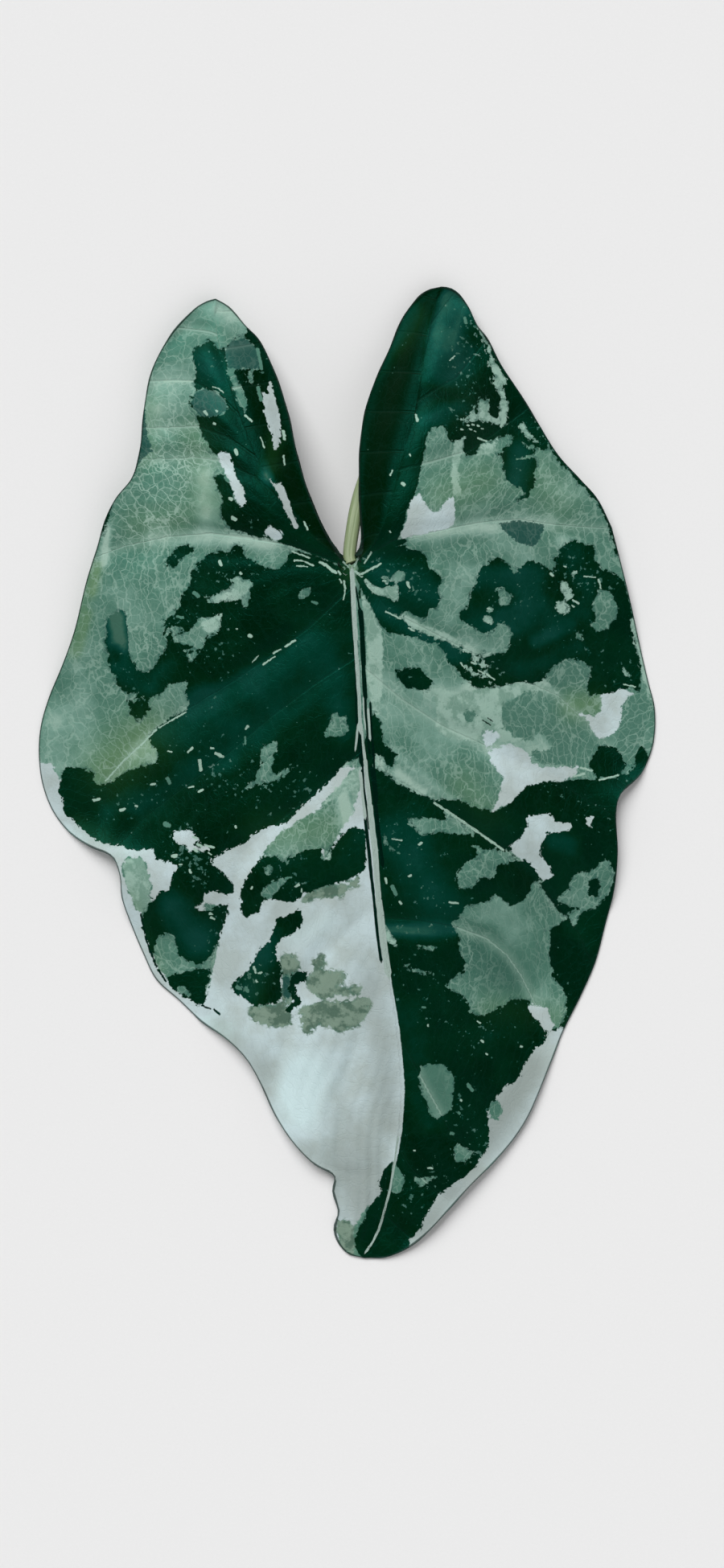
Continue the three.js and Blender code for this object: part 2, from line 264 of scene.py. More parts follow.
# Where the tissue is dark green or white, in the order that the parts lie over each other.
# What no outline covers is the grey-green middle tone, called mint here.
bladeMarks = [
    ("white", [   # the large white part at the lower left
        (-152, 6), (-141, 5), (-137, -2), (-120, -10), (-60, -30), (-5, 2), (9, 4), (12, -20), (15, -50),
        (18.4, -80), (20, -90), (21.4, -100), (23.2, -110), (24.8, -120), (26, -130), (26.9, -140),
        (27.5, -150), (27, -160), (26.2, -170), (24.6, -180), (19.7, -200), (10, -206), (4, -215),
        (1, -222), (-2, -232), (-10, -232), (-10, -195), (-30, -185), (-60, -135), (-90, -110), (-112, -90),
        (-115, -45), (-152, -30)]),
    ("mint", [   # below the dark parts at the lower left edge
        (-98, -62), (-93, -58), (-84, -60), (-62, -62), (-60, -75), (-64, -95), (-68, -110), (-80, -104),
        (-90, -93), (-95, -80)]),
    ("white", [   # the white strip along the lower right edge
        (60, -110), (108, -116), (112, -125), (95, -160), (60, -205), (30, -232), (20, -215), (50, -180)]),
    ("dark", [   # left lobe
        (-44, 214), (-47.6, 212.5), (-47.2, 209.7), (-48.9, 207.3), (-53, 205.8), (-56.5, 203.2),
        (-59.1, 200.2), (-62.1, 200.7), (-63.3, 204.6), (-65.8, 205.3), (-67.5, 203.2), (-71.7, 202.4),
        (-72.6, 200.4), (-72, 194), (-71, 189), (-72, 184), (-71, 180), (-74, 178.5), (-75, 176),
        (-73, 173), (-71, 170), (-70, 165), (-68, 160), (-66, 156), (-64, 152), (-61.5, 150), (-56, 150.5),
        (-54, 146), (-52.5, 141), (-50, 135), (-48, 130), (-47, 126), (-50, 125.5), (-53, 127), (-53, 131),
        (-55, 136), (-57, 140), (-61, 141.5), (-62, 138.5), (-60, 133), (-58, 128), (-59, 123),
        (-58, 118.5), (-54, 114.5), (-47, 112.5), (-40, 110.5), (-33, 109), (-28, 107), (-18, 103.5),
        (-8, 99.5), (0, 97), (4, 101), (-4, 112), (-10, 125), (-16, 140), (-20, 160), (-23, 180),
        (-30, 200), (-38, 212)]),
    ("dusk", [
        (-57.4, 201.5), (-54, 204.9), (-48.9, 206.3), (-45.6, 204.9), (-42.2, 200.7), (-41.3, 196.5),
        (-40.5, 191.4), (-43.5, 190.6), (-47.2, 191.4), (-52.3, 190.6), (-56, 191.4), (-57.4, 196.5)]),
    ("dusk", [
        (-72.2, 179.3), (-67.5, 182), (-62.4, 180.6), (-57.7, 176.9), (-55.7, 171.5), (-58.7, 169.1),
        (-64.1, 167.4), (-69.2, 168.4), (-71.7, 171.1), (-73.9, 174.9)]),
    ("dusk", [
        (-99, 172), (-95.5, 172), (-94.5, 160), (-93, 156), (-91.5, 153), (-95, 151.5), (-98, 148),
        (-100.5, 142), (-103, 138.5), (-106, 138), (-103, 146), (-100, 156)]),
    ("dark", [(-116, 128), (-111.5, 127.5), (-113.5, 121), (-115.5, 113.5), (-118, 113)]),
    ("dark", [
        (-86, 100), (-84, 103), (-80, 107), (-75, 107.5), (-70, 105.5), (-75, 103), (-79, 101), (-81, 97.5),
        (-85, 97)]),
    ("dark", [   # the large dark part left of the midrib
        (-3.3, 93.1), (-9.2, 96.8), (-15.2, 99.2), (-21.9, 101.6), (-26.6, 102.7), (-28.3, 98.5),
        (-32, 95.8), (-36.3, 95.5), (-40.5, 98), (-45.2, 100.6), (-48.6, 102.2), (-48.6, 105.6),
        (-50.6, 107.3), (-53.7, 105.6), (-56, 102.6), (-59.1, 104.4), (-62.8, 103.9), (-65.8, 102.9),
        (-67.5, 100.2), (-71.7, 98.2), (-73.9, 94.3), (-73.4, 89.1), (-78, 84), (-78.3, 77.9),
        (-81.7, 77.2), (-83.6, 74), (-86.1, 73.2), (-86.4, 64.7), (-84.7, 62.7), (-86.1, 58), (-89.1, 54.3),
        (-90.3, 50.9), (-92.3, 48.9), (-96.2, 47.7), (-99.3, 48.5), (-100.4, 51.9), (-102.6, 54.6),
        (-103.8, 58), (-103.3, 63.1), (-103.8, 68.1), (-104.3, 73.2), (-105, 76.6), (-108, 77.6),
        (-111.1, 75.7), (-113.8, 73.5), (-114.5, 69.8), (-113.5, 66.4), (-114.8, 63.1), (-113.8, 59.7),
        (-112.8, 56), (-113.5, 53.3), (-112.3, 49.5), (-110.1, 47), (-109.7, 42.8), (-106.4, 39.4),
        (-103.7, 37.7), (-99.6, 38.6), (-96.2, 36.7), (-92, 35), (-90.3, 37.7), (-87.1, 37.4),
        (-85.8, 40.8), (-82.4, 42.6), (-75.6, 43.1), (-76, 37.7), (-74.8, 34), (-74.9, 30.1), (-81, 27.6),
        (-86.1, 24.9), (-90.3, 21.5), (-94.9, 16.4), (-92.5, 13.7), (-89.5, 10.7), (-88.8, 5.6),
        (-92.8, 3.9), (-97.9, 3.1), (-103, 1.2), (-108, -1.3), (-113.1, -4.5), (-118.2, -5.5),
        (-120.7, -3.7), (-120.2, -0.3), (-124.9, 2.1), (-130, 2.6), (-133.4, 3.1), (-135.1, 0.6),
        (-135.7, -3.7), (-137.8, -7.2), (-135.7, -11.3), (-135.1, -16.3), (-133.4, -20.7), (-132, -20.5),
        (-128, -25), (-122, -30), (-116, -33.5), (-108, -34), (-100, -37), (-93, -36), (-91, -39),
        (-88, -41.5), (-80, -41), (-74, -38), (-66, -38), (-60, -38.5), (-56, -36.5), (-50, -34),
        (-45, -30), (-39, -25.5), (-30, -24.5), (-26, -21), (-20, -15), (-15, -10.5), (-10, -5.5),
        (-5, -0.5), (-2, 3), (1, 5.5), (8, 8), (6.1, 40), (4.8, 60), (3.3, 80), (1, 97)]),
    ("dark", [
        (-28.3, 96.8), (-27.7, 102.2), (-25.3, 104.3), (-20.2, 103.3), (-13.5, 101.2), (-6.7, 98.5),
        (0, 94.3), (0, 90.1), (-5, 91.4), (-13.5, 93.5), (-21.9, 95.5)]),
    ("dark", [
        (-104.3, 35.2), (-100.4, 34.3), (-99.6, 36.7), (-97.9, 37.7), (-95.9, 36), (-93.7, 33.5),
        (-93.2, 30), (-96.2, 27.6), (-97.9, 24.9), (-100.4, 25.9), (-103, 28.3), (-102.1, 31),
        (-104.3, 32.7)]),
    ("pale", [
        (-104.3, -40), (-97.9, -39.5), (-94.2, -42.8), (-92.5, -47.6), (-93.7, -50.9), (-90.3, -55.2),
        (-91.2, -59.4), (-94.5, -63.1), (-96.2, -67), (-99.6, -66.1), (-103, -57.7), (-105.5, -50.9),
        (-106.7, -44.2)]),
    ("dark", [   # lower left, above the white part
        (-92, -34.9), (-81, -33.2), (-64.1, -34.9), (-60.8, -39.1), (-64.1, -40), (-65, -42.5),
        (-59.1, -46.7), (-54.8, -50.9), (-53, -54.7), (-54, -56.9), (-57.4, -57.4), (-61.6, -56),
        (-65.8, -56), (-68.4, -57.7), (-67.5, -59.7), (-70.6, -62.4), (-69.2, -64.5), (-65.8, -64.8),
        (-60.8, -62.8), (-55.7, -61.9), (-56, -66.1), (-58.2, -71.2), (-60.4, -78), (-63.3, -84.7),
        (-65, -88.1), (-67.5, -89.4), (-71.7, -90.8), (-76, -89.4), (-80.2, -86.4), (-80.7, -82.7),
        (-81.7, -78.8), (-84.4, -76.3), (-87.8, -76.3), (-90.5, -78), (-91.5, -84.7), (-92.8, -86.4),
        (-95.4, -79.7), (-97.4, -73.7), (-97.4, -68.7), (-94.5, -64.5), (-93.7, -61.1), (-91.2, -57.7),
        (-86.9, -56), (-83.6, -54.3), (-83.1, -49.3), (-81, -46.7), (-80.2, -43.8), (-83.6, -41.7),
        (-88.6, -42.2), (-91.2, -39.1)]),
    ("dark", [
        (-85.2, -96.9), (-81, -95.2), (-74.3, -94.2), (-69.2, -93.3), (-64.8, -92.8), (-65.8, -98.2),
        (-66.7, -103.3), (-67.9, -109.2), (-70.9, -110.9), (-74.3, -108.4), (-77.6, -106.7), (-81, -104.1),
        (-83.6, -102.5), (-84.7, -99.9)]),
    ("dark", [
        (-50, -56), (-49, -52), (-45, -47), (-43, -43), (-41, -40.5), (-37, -38.5), (-31, -37.5),
        (-27, -37), (-22, -35), (-13, -34), (-10, -40), (-6, -34), (-2, -29), (3, -25), (9, -27), (9, -44),
        (6, -47), (2, -50), (-4, -51.5), (-9, -54), (-20, -56.5), (-22, -59), (-24, -60.5), (-30, -61),
        (-35, -59), (-40, -61), (-41, -66), (-44, -66.5), (-48, -68), (-50, -66)]),
    ("dark", [
        (-34.6, -73.2), (-33.7, -69.5), (-30.4, -67.8), (-25.3, -66.1), (-21.6, -62.4), (-20.6, -66.1),
        (-21.1, -71.2), (-24.4, -75.4), (-28.7, -78), (-32, -78.3), (-33.1, -82.2), (-33.7, -86.4),
        (-32, -89.8), (-30, -93.2), (-31.2, -98.2), (-30.4, -103.3), (-32, -108.4), (-37.1, -110.1),
        (-40.5, -110.1), (-44.7, -110.9), (-47.2, -108.4), (-50.6, -105.8), (-54.8, -103.3),
        (-55.2, -100.8), (-52.3, -98.2), (-48.9, -95.7), (-46.4, -93.2), (-43.9, -88.1), (-42.2, -84.7),
        (-39.6, -82.2), (-36.3, -79.7)]),
    ("dark", [   # the tip
        (22, -184), (18, -188), (16, -192), (15, -196), (17, -199), (14, -202), (10.5, -206), (9, -211),
        (6.5, -215), (4.5, -219), (3, -223), (5, -228), (10, -233), (20, -233), (30, -228), (24, -200)]),
    ("dark", [   # right lobe
        (3, 98), (10, 103), (18, 107.5), (25, 111), (26.5, 116), (28, 121), (29.5, 126), (32, 130.5),
        (33.5, 134.5), (34.5, 140), (35.5, 146), (36.5, 152), (38, 158), (39.5, 162), (44, 163), (48, 161),
        (47, 157.5), (50, 156), (53, 156.5), (56, 158), (54, 152), (55, 150), (60, 150), (62, 154),
        (66, 156.5), (72, 159), (80, 161.5), (79, 166), (72, 164.5), (66, 166.5), (58, 167), (57, 168.5),
        (61, 174), (63, 178), (68, 178.5), (70, 181), (68.5, 186), (67, 190), (67.5, 196), (66, 200),
        (64.5, 205), (63, 209), (62, 213), (60, 222), (56, 230), (50, 234), (38, 234), (28, 228), (20, 215),
        (8, 190), (2, 165), (2, 120), (3, 104)]),
    ("dark", [
        (74, 187), (77, 188), (83, 180), (88, 171), (92, 162.5), (90.5, 158.5), (87, 160.5), (84.5, 162),
        (82.3, 164.5), (81.5, 168), (79.5, 169), (78.5, 164.5), (76, 165), (76.3, 171), (76.3, 176),
        (75.3, 182)]),
    ("dark", [   # the dark strip along the right lobe's outer edge
        (65, 213), (70, 203), (76, 193), (84, 181), (92, 168), (101, 154), (112, 141), (120, 132),
        (126, 120), (130, 104), (128.5, 103), (124, 118), (118, 129.5), (110, 138), (99, 150), (90, 164.5),
        (82, 178), (74, 190), (68, 200), (62.5, 213)]),
    ("dark", [
        (71.7, 151.6), (73.7, 152.2), (75, 154.9), (77.7, 155.6), (78.7, 159.7), (82.5, 160.6), (84.5, 159),
        (83.1, 156.3), (85.8, 154.3), (88.8, 152.9), (88.5, 150.9), (84.5, 150.2), (81.1, 149.5),
        (79.8, 148.9), (89.2, 148.9), (89.5, 144.1), (88.5, 141.4), (89.5, 138), (87.9, 134.7),
        (86.1, 130.6), (83.1, 129.3), (80.7, 128.2), (80, 129.3), (83.1, 130.9), (84.2, 132.2),
        (83.1, 134.4), (79.8, 135.7), (77.1, 136.7), (75, 138.7), (75, 142.8), (73, 144.8), (73.9, 148.9),
        (71.7, 150.2)]),
    ("dusk", [
        (71.7, 117.2), (76, 118.9), (82.6, 119.5), (89.1, 119.1), (93.8, 117.2), (93.1, 114.6),
        (91.1, 111.6), (89.8, 108.3), (87.5, 107), (85, 108.2), (81.2, 109), (77.6, 111.6), (74.3, 114.3)]),
    ("dark", [
        (5.4, 96.8), (8.4, 97.5), (12, 98.1), (13.6, 100.4), (16.3, 102.4), (17.9, 105), (19.9, 106),
        (22.9, 106.7), (26.5, 106.5), (29.5, 104.7), (34.4, 104.2), (37.2, 101.7), (38.4, 98.4), (38.7, 96),
        (41.7, 94.5), (44, 92.5), (44.6, 90.2), (43.5, 87.6), (41.3, 85.9), (43.5, 83.6), (44, 81),
        (43, 78.3), (40.7, 77), (38.4, 77), (38.5, 74), (36.4, 72.4), (33.9, 73.4), (31.4, 74.4),
        (29.8, 76.4), (28.1, 75.4), (26.2, 76), (24.5, 78), (21.9, 79.3), (23.5, 81), (24.9, 83.6),
        (24.5, 85.6), (22.5, 86.6), (19.6, 86.6), (16.6, 87.6), (13.3, 88.2), (11.3, 89.2), (10, 90.9),
        (8.4, 92.5), (5.9, 93.2)]),
    ("dark", [   # the dark band below the second right vein
        (5.4, 86.6), (8.4, 84.9), (11.3, 82), (14, 80), (16.6, 78.3), (19.9, 75.4), (24, 72.9),
        (28.1, 70.4), (31.8, 68.4), (35.6, 67.1), (38.9, 65.8), (42.2, 64.5), (45.5, 62.8), (47.9, 60.9),
        (51.2, 60.2), (54.5, 58.6), (57.8, 56.9), (61.1, 55.3), (63.6, 57.2), (66.9, 55.9), (71, 56.2),
        (74.3, 55.9), (76.8, 58.9), (77.9, 63), (78.9, 67.1), (82.6, 65.5), (89.1, 57.2), (92.4, 47.3),
        (92.4, 43.7), (89.1, 42.7), (85.9, 43.7), (82.6, 43.4), (79.3, 42.7), (76, 41.1), (71.8, 39.9),
        (66.1, 39.8), (60.3, 40.7), (56.5, 43.2), (53.7, 46.5), (51.2, 49), (48.8, 51), (46.6, 53.6),
        (46.9, 56.4), (44.6, 58.9), (41.7, 60.9), (38, 61.8), (33.9, 63), (28.1, 64.2), (23.2, 65.5),
        (19.1, 66.3), (16.6, 68.4), (14.6, 72.1), (12, 75.4), (9.7, 78.3), (7, 81), (5.1, 82.8)]),
    ("dark", [   # the large dark part at the right shoulder
        (53.2, 72.9), (53.7, 76), (56.8, 78.3), (58.5, 81.6), (57.5, 84.6), (60.1, 87.6), (61.8, 90.9),
        (61.8, 94.8), (64.4, 97.5), (67.1, 98.4), (67.7, 100.4), (71, 101.7), (74, 100.4), (76, 97.8),
        (78.4, 96.1), (79.3, 92.8), (80.9, 96), (83.2, 97.8), (84.2, 100.1), (87.5, 100.9), (91.1, 99.4),
        (93.8, 98.4), (95.1, 95.8), (97.7, 96), (99, 98.4), (98, 100.8), (99.9, 102.7), (100.7, 106.4),
        (103, 108.7), (106.3, 110.3), (109.9, 110), (113.2, 108.7), (117.2, 109.3), (117.8, 105.7),
        (117.2, 101.7), (119.5, 99.4), (121.1, 96.8), (124.8, 95.8), (128.1, 94.5), (131.2, 91.5),
        (135, 80.3), (136.3, 74.5), (136.3, 70.1), (138.3, 65.1), (139.9, 60.5), (140.9, 56.4),
        (140.3, 51.5), (139.6, 46.5), (139.6, 38.1), (135.6, 40.6), (132.3, 39.8), (129, 38.1),
        (122.4, 37.4), (118.8, 38.3), (115.5, 37.4), (114.2, 40.7), (115.5, 44.9), (116.3, 50.6),
        (113.9, 52.3), (108.9, 53.6), (104.3, 53.1), (100.7, 50.6), (96.7, 47.3), (92.4, 43.7),
        (85.9, 42.4), (80.9, 47.3), (76, 57.2), (76.3, 60.5), (78.4, 64.5), (77.6, 68.4), (74.3, 71.1),
        (70.2, 69.4), (69.4, 67.5), (67.1, 66.1), (64.1, 65.8), (61.1, 67.8), (58.5, 69.4), (55.2, 70.1)]),
    ("dark", [
        (22.4, 49), (25.5, 48), (27.8, 50), (30.5, 49), (33.1, 50.6), (35.1, 49.3), (36.1, 46), (40, 44),
        (39.7, 40.7), (37.1, 39.1), (34.4, 38.6), (31.4, 40.1), (28.1, 39.8), (25.5, 42.4), (23.9, 45.4)]),
    ("dark", [
        (12.3, 28.2), (14.4, 26.4), (16.8, 20.7), (16.8, 14.8), (20.1, 11.5), (24, 9), (22, 5.4),
        (21.2, 2.6), (19, 4), (17, 7.6), (14.4, 9.5), (13, 8.4), (12, 0), (9, 0), (8.4, 14), (10, 22)]),
    ("dark", [
        (119, 12), (124, 13), (128, 12), (131, 8), (133, 4), (131, 0), (126, -2), (119, -2), (115, 4),
        (117, 8)]),
    ("dark", [(137, 9), (140, 13.5), (141.5, 12), (141, 6), (137, 4)]),
    ("dark", [   # the large dark part right of the midrib, down to the tip
        (9, 4), (15, 2), (20, -2), (27, -6), (34, -10), (40, -12), (52, -12.5), (57, -14.5), (63, -17),
        (68, -18), (72, -17), (76, -15), (80, -10), (83, -8), (87, -5), (92, -4.5), (100, -4), (108, -3),
        (118, -3), (126, -2), (133, 0), (138, 4), (141, 10), (145, 8), (150, 0), (140, -8), (132, -20),
        (132, -60), (126, -80), (118, -100), (108, -118), (106, -120), (100, -122), (95, -124), (93, -129),
        (89, -131), (87, -135), (84, -139), (82, -145), (78, -147), (74, -150), (71, -154), (67, -160),
        (67, -165), (68, -170), (67, -178), (65, -181), (62, -186), (57, -191), (52, -194.5), (47, -198),
        (42, -202), (40, -207), (36, -212), (35, -217), (31, -221), (28, -228), (18, -234), (8, -233),
        (13.8, -220), (19.7, -200), (24.6, -180), (26.2, -170), (27, -160), (27.5, -150), (26.9, -140),
        (26, -130), (24.8, -120), (23.2, -110), (21.4, -100), (20, -90), (18.4, -80), (14.6, -50),
        (11.2, -20), (9, 0)]),

    # mint parts inside the dark and the white ones, left half
    ("mint", [
        (-57, 190.5), (-53, 190.5), (-51, 185), (-48, 178), (-46.5, 173), (-48, 169.5), (-51, 174),
        (-53, 180), (-55.5, 187)]),
    ("mint", [(-48, 190), (-44.5, 191), (-43.5, 187), (-45, 184), (-47, 187)]),
    ("mint", [
        (-54, 91.8), (-50.6, 93.1), (-48.9, 90.9), (-45.2, 91.4), (-43.9, 88.4), (-45.6, 85.9),
        (-45.2, 82.5), (-47.2, 78.3), (-49.3, 78.6), (-48.9, 81.6), (-52.3, 81.6), (-57.4, 80.8),
        (-61.6, 79.9), (-65, 80.8), (-66.7, 83), (-62.4, 83.3), (-59.1, 85.9), (-54.8, 86.7),
        (-53.7, 89.2)]),
    ("pale", [
        (-53.7, 89.2), (-52, 91.8), (-50.3, 92.1), (-48.9, 90.1), (-46.2, 90.1), (-45.9, 87.5),
        (-47.2, 84.2), (-49.3, 83), (-51.5, 84.7), (-53.2, 86.4)]),
    ("mint", [
        (-71.7, 71.5), (-67.5, 74), (-63.3, 73.5), (-59.1, 74.9), (-58.7, 71.5), (-59.4, 67.3),
        (-64.1, 65.6), (-66.7, 63.1), (-67.9, 58.8), (-70.9, 58.3), (-74.3, 60.5), (-78.5, 61.4),
        (-81.9, 63.1), (-81, 65.6), (-76, 66.4), (-72.6, 68.1)]),
    ("pale", [
        (-67.5, 71.5), (-64.1, 72.2), (-60.1, 73.2), (-59.7, 69.8), (-61.6, 67.4), (-65, 66.4),
        (-67.5, 67.3), (-69.2, 69)]),
    ("shade", [(-76, 56.3), (-73.4, 57.8), (-70.6, 56.3), (-71.6, 53.3), (-74.3, 52.4)]),
    ("mint", [
        (-40.5, 12.4), (-37.1, 14.4), (-32.9, 15.4), (-32.4, 11.5), (-34.6, 9), (-33.7, 5.6), (-35.8, 3.9),
        (-35.1, 0.6), (-32, -0.3), (-28.7, 2.3), (-26.1, 3.1), (-27.8, -0.3), (-31.2, -2), (-33.7, -3.7),
        (-36.3, -4.5), (-38, -7.2), (-39.1, -3.7), (-43, -6.2), (-47.2, -7.9), (-48.3, -6.2), (-43, -3.1),
        (-41.8, 1.4), (-39.6, 3.9), (-40.5, 7.3), (-39.1, 9.9)]),
    ("shade", [(-22.8, 84), (-20.2, 86.5), (-16.7, 87.4), (-16.8, 84.2), (-19.2, 82.3), (-22.6, 81.5)]),
    ("shade", [(-84.5, 68.8), (-81, 69.6), (-77.5, 68.6), (-78.5, 66), (-83.5, 66)]),
    ("shade", [(-76.5, 57.5), (-72.5, 57.5), (-71, 53.5), (-74, 52)]),
    ("mint", [(-7, 28), (-4, 29), (-2, 25), (0, 27), (1, 20), (-1, 18), (-10, 17), (-9, 21)]),
    ("pale", [(-12, -15), (-4, -6), (3, 2), (7, 3), (6, -8), (3, -18), (-1.5, -25), (-5, -31), (-8, -20)]),
    ("mint", [
        (-40.5, -39), (-33.4, -30.2), (-26, -24.4), (-14.4, -17.9), (-6.2, -12.1), (0.4, -8), (2.8, -10.4),
        (2.8, -18.7), (-1.3, -24.4), (-4.6, -31), (-7, -34.3), (-8.7, -40.9), (-12, -40), (-10.3, -35.1),
        (-19.4, -36), (-25.1, -38.8), (-29.3, -40.4), (-33.4, -39.3)]),
    ("shade", [
        (-80.7, -101.9), (-78.5, -101.3), (-76, -102.5), (-73.9, -104.6), (-74.9, -106), (-78, -105.3),
        (-80.3, -104)]),
    ("blotch", [
        (-22, -60), (-18, -56.5), (-10, -53), (0, -52), (5.5, -49), (6, -53), (0, -55), (-2, -58.5),
        (-8, -58.5), (-16, -60), (-20, -61.5)]),
    ("shade", [
        (-40.5, -57.7), (-38.8, -54.3), (-36.3, -51.8), (-32, -50.1), (-27.8, -49.6), (-29.5, -52.6),
        (-32, -55.2), (-34.6, -57.7), (-38, -59.4)]),
    ("shade", [(-38.6, -43.5), (-35, -43.3), (-34.3, -46), (-36.5, -48.5), (-38.5, -46.5)]),
    ("mint", [(-31, -36.5), (-27, -36.3), (-28, -43), (-31, -42)]),
    ("blotch", [   # blotches in the white part, one below the other
        (-16.1, -87), (-11.2, -85.9), (-9.5, -90.3), (-12, -92.8), (-2.9, -93.6), (0.4, -95.3),
        (-1.3, -98.5), (-5.4, -100.2), (3.7, -101), (2.9, -103.5), (-6.2, -105.1), (-11.2, -107.6),
        (-14.4, -106), (-18.6, -101), (-19.4, -96.1), (-15.3, -94.4)]),
    ("blotch", [(2.8, -99.4), (7, -101), (6.1, -104.3), (0.4, -105.1), (-5.4, -106.3), (1, -102)]),
    ("blotch", [
        (-19.4, -110.1), (-12.8, -108.4), (-6.2, -107.6), (2, -107.6), (8.6, -105.1), (11.1, -109.2),
        (10.3, -114.2), (6.1, -119.1), (0.4, -121.6), (-5.4, -123.2), (-7.9, -119.1), (-14.4, -120),
        (-18.6, -124.1), (-21.9, -120.8), (-21, -115.8), (-24.3, -112.5)]),
    ("blotch", [
        (-46.6, -110.9), (-42.4, -110.9), (-35.8, -110.1), (-30.9, -107.6), (-28.4, -110.9), (-26, -115.8),
        (-26.8, -120), (-32.6, -120.8), (-40.8, -119.1), (-45.7, -116.7)]),
    ("blotch", [
        (-32, -86.4), (-28.7, -85.1), (-24.4, -86.1), (-21.6, -89.4), (-22.8, -93.2), (-25.3, -96.9),
        (-24.4, -102.5), (-26.1, -108.4), (-29.5, -110.1), (-30.9, -103.3), (-30.4, -94.9)]),
    ("dusk", [
        (-31, -97.4), (-28.3, -95.2), (-26, -96.9), (-24.4, -100.8), (-25.6, -105), (-28.3, -107.5),
        (-30.4, -105)]),
    ("dark", [
        (-26.6, -95.2), (-22.8, -93.5), (-17.7, -95.2), (-18.9, -98.2), (-21.9, -98.6), (-24.1, -100.8),
        (-23.6, -104.5), (-20.7, -107.5), (-22.8, -110.4), (-27.8, -114.1), (-29, -112.1), (-25.6, -108.7),
        (-26.3, -104.5), (-28, -101.9), (-26.3, -98.6)]),
    ("white", [
        (-98, -36.5), (-91.5, -35.5), (-91.5, -40), (-84, -43), (-80.5, -45.5), (-83.5, -48), (-84, -54.5),
        (-88, -56), (-92, -61), (-94, -58), (-92, -52), (-94, -47)]),
    ("white", [(-69, -62), (-66.5, -61), (-67.5, -64.5), (-70.5, -65.5), (-71.5, -63.5)]),
    ("pale", [(-9.5, -36), (-6.5, -35), (-7, -40.5), (-9, -40.8)]),
    # and on the right half
    ("dark", [
        (62.5, 211.7), (66.9, 207), (73.7, 194.1), (79.1, 183.3), (84.5, 175.2), (89.9, 165.7),
        (96.6, 154.9), (92.6, 152.9), (88.5, 155.6), (84.5, 156.3), (79.1, 159), (76.4, 162.4), (71, 163.7),
        (66.9, 164.4), (61.5, 165.7), (60.2, 172.5), (68.3, 177.9), (66.9, 194.1)]),
    ("pale", [
        (62.5, 211.7), (63.8, 211.4), (65.3, 207), (66.9, 204.9), (69.4, 198.2), (71, 194.1), (73, 191.4),
        (75.7, 187.4), (76.4, 184.9), (73.9, 184.7), (74.4, 182), (75, 177.9), (73, 178.6), (71, 180.9),
        (69.9, 184.7), (69.6, 188.7), (68, 192.1), (67.7, 196.8), (66.7, 200.9), (64.9, 204.9),
        (63.5, 207.6)]),
    ("pale", [
        (73, 177.9), (75, 178.2), (77.1, 175.9), (76.4, 172.5), (76.1, 169.1), (75.7, 165.7), (73.7, 164.4),
        (69.6, 165.1), (67.6, 165.7), (64.9, 166), (62.9, 166.8), (58.1, 165.7), (55.4, 165.7),
        (53.4, 167.1), (57.5, 167.8), (60.8, 168.7), (61.5, 172.5), (62.9, 174.9), (65.8, 175.2),
        (68, 174.1), (66.9, 171.8), (68.3, 169.3), (71.7, 168.2), (72.7, 170.5), (71.7, 172.5),
        (72.7, 175.2)]),
    ("pale", [
        (81.8, 166), (83.4, 166.6), (84.9, 164.7), (86.1, 162.2), (88.3, 159.7), (90.6, 157.4), (89.9, 156),
        (87.5, 157.9), (85.3, 159.3), (83.4, 161.4), (82.1, 163.6)]),
    ("pale", [
        (62.9, 154.3), (65.8, 155.5), (68.3, 156.3), (71, 158.3), (71.8, 156.7), (70.3, 154.9),
        (68.3, 153.9), (69.9, 151.6), (66.9, 150.9), (64.2, 150.5), (62.6, 150.9), (60.8, 149.8),
        (61.5, 152.2)]),
    ("pale", [   # the light streak along the second right vein
        (23.2, 75.4), (29.8, 73.2), (36.4, 69.4), (43, 67.1), (49.6, 64.5), (56.2, 61.5), (61.1, 58.9),
        (65.7, 57.2), (69.4, 56.2), (66.1, 54.6), (61.1, 55.3), (56.2, 57.2), (51.2, 59.9), (46.6, 61.8),
        (41.3, 64.2), (34.7, 66.1), (28.1, 70.1)]),
    ("pale", [
        (57.8, 57.2), (61.1, 54.8), (64.7, 52.6), (67.7, 51), (66.7, 49.3), (62.8, 51), (58.6, 53.9)]),
    ("pale", [(55.5, 50.6), (58.2, 50), (60.3, 47.7), (63.1, 46.7), (62.3, 45.2), (59.1, 46), (56.5, 48)]),
    ("pale", [(64.4, 47.7), (66.9, 46), (69.7, 44.4), (68.4, 42.9), (65.4, 44.4)]),
    ("pale", [(130, 49), (132, 50.6), (133.3, 48.3), (135.3, 46), (134, 45), (131.7, 46.7)]),
    ("mint", [
        (69.7, 87.2), (72.7, 87.9), (75.3, 86.6), (76.9, 85.3), (78.6, 82.8), (77.9, 80.3), (75.6, 79),
        (73.7, 78.7), (71.7, 80.6), (72.7, 83.6), (69.7, 85.6)]),
    ("pale", [
        (63.8, 72.9), (65.4, 74.4), (68, 73.7), (70, 72.4), (69.7, 70.4), (68, 70.1), (66.1, 71.1),
        (64.4, 71.1)]),
    ("shade", [(65.7, 77.7), (67.1, 78.3), (68.7, 77.3), (67.7, 76), (66.1, 76)]),
    ("mint", [
        (117.8, 83.3), (118.8, 86.6), (122.1, 87.7), (125.1, 86.6), (127.1, 83.6), (128.1, 80.3), (129, 77),
        (128.1, 73.4), (125.7, 71.7), (124.8, 69.1), (121.5, 68.1), (118.8, 66.1), (117.2, 68.1),
        (116.2, 70.4), (118.5, 72.9), (117.8, 76.7), (115.9, 78.3), (114.9, 79.7), (117.2, 80.6)]),
    ("shade", [(107.9, 66.8), (110.6, 67.5), (112.6, 64.8), (111.6, 62.8), (109.3, 63.2)]),
    ("mint", [
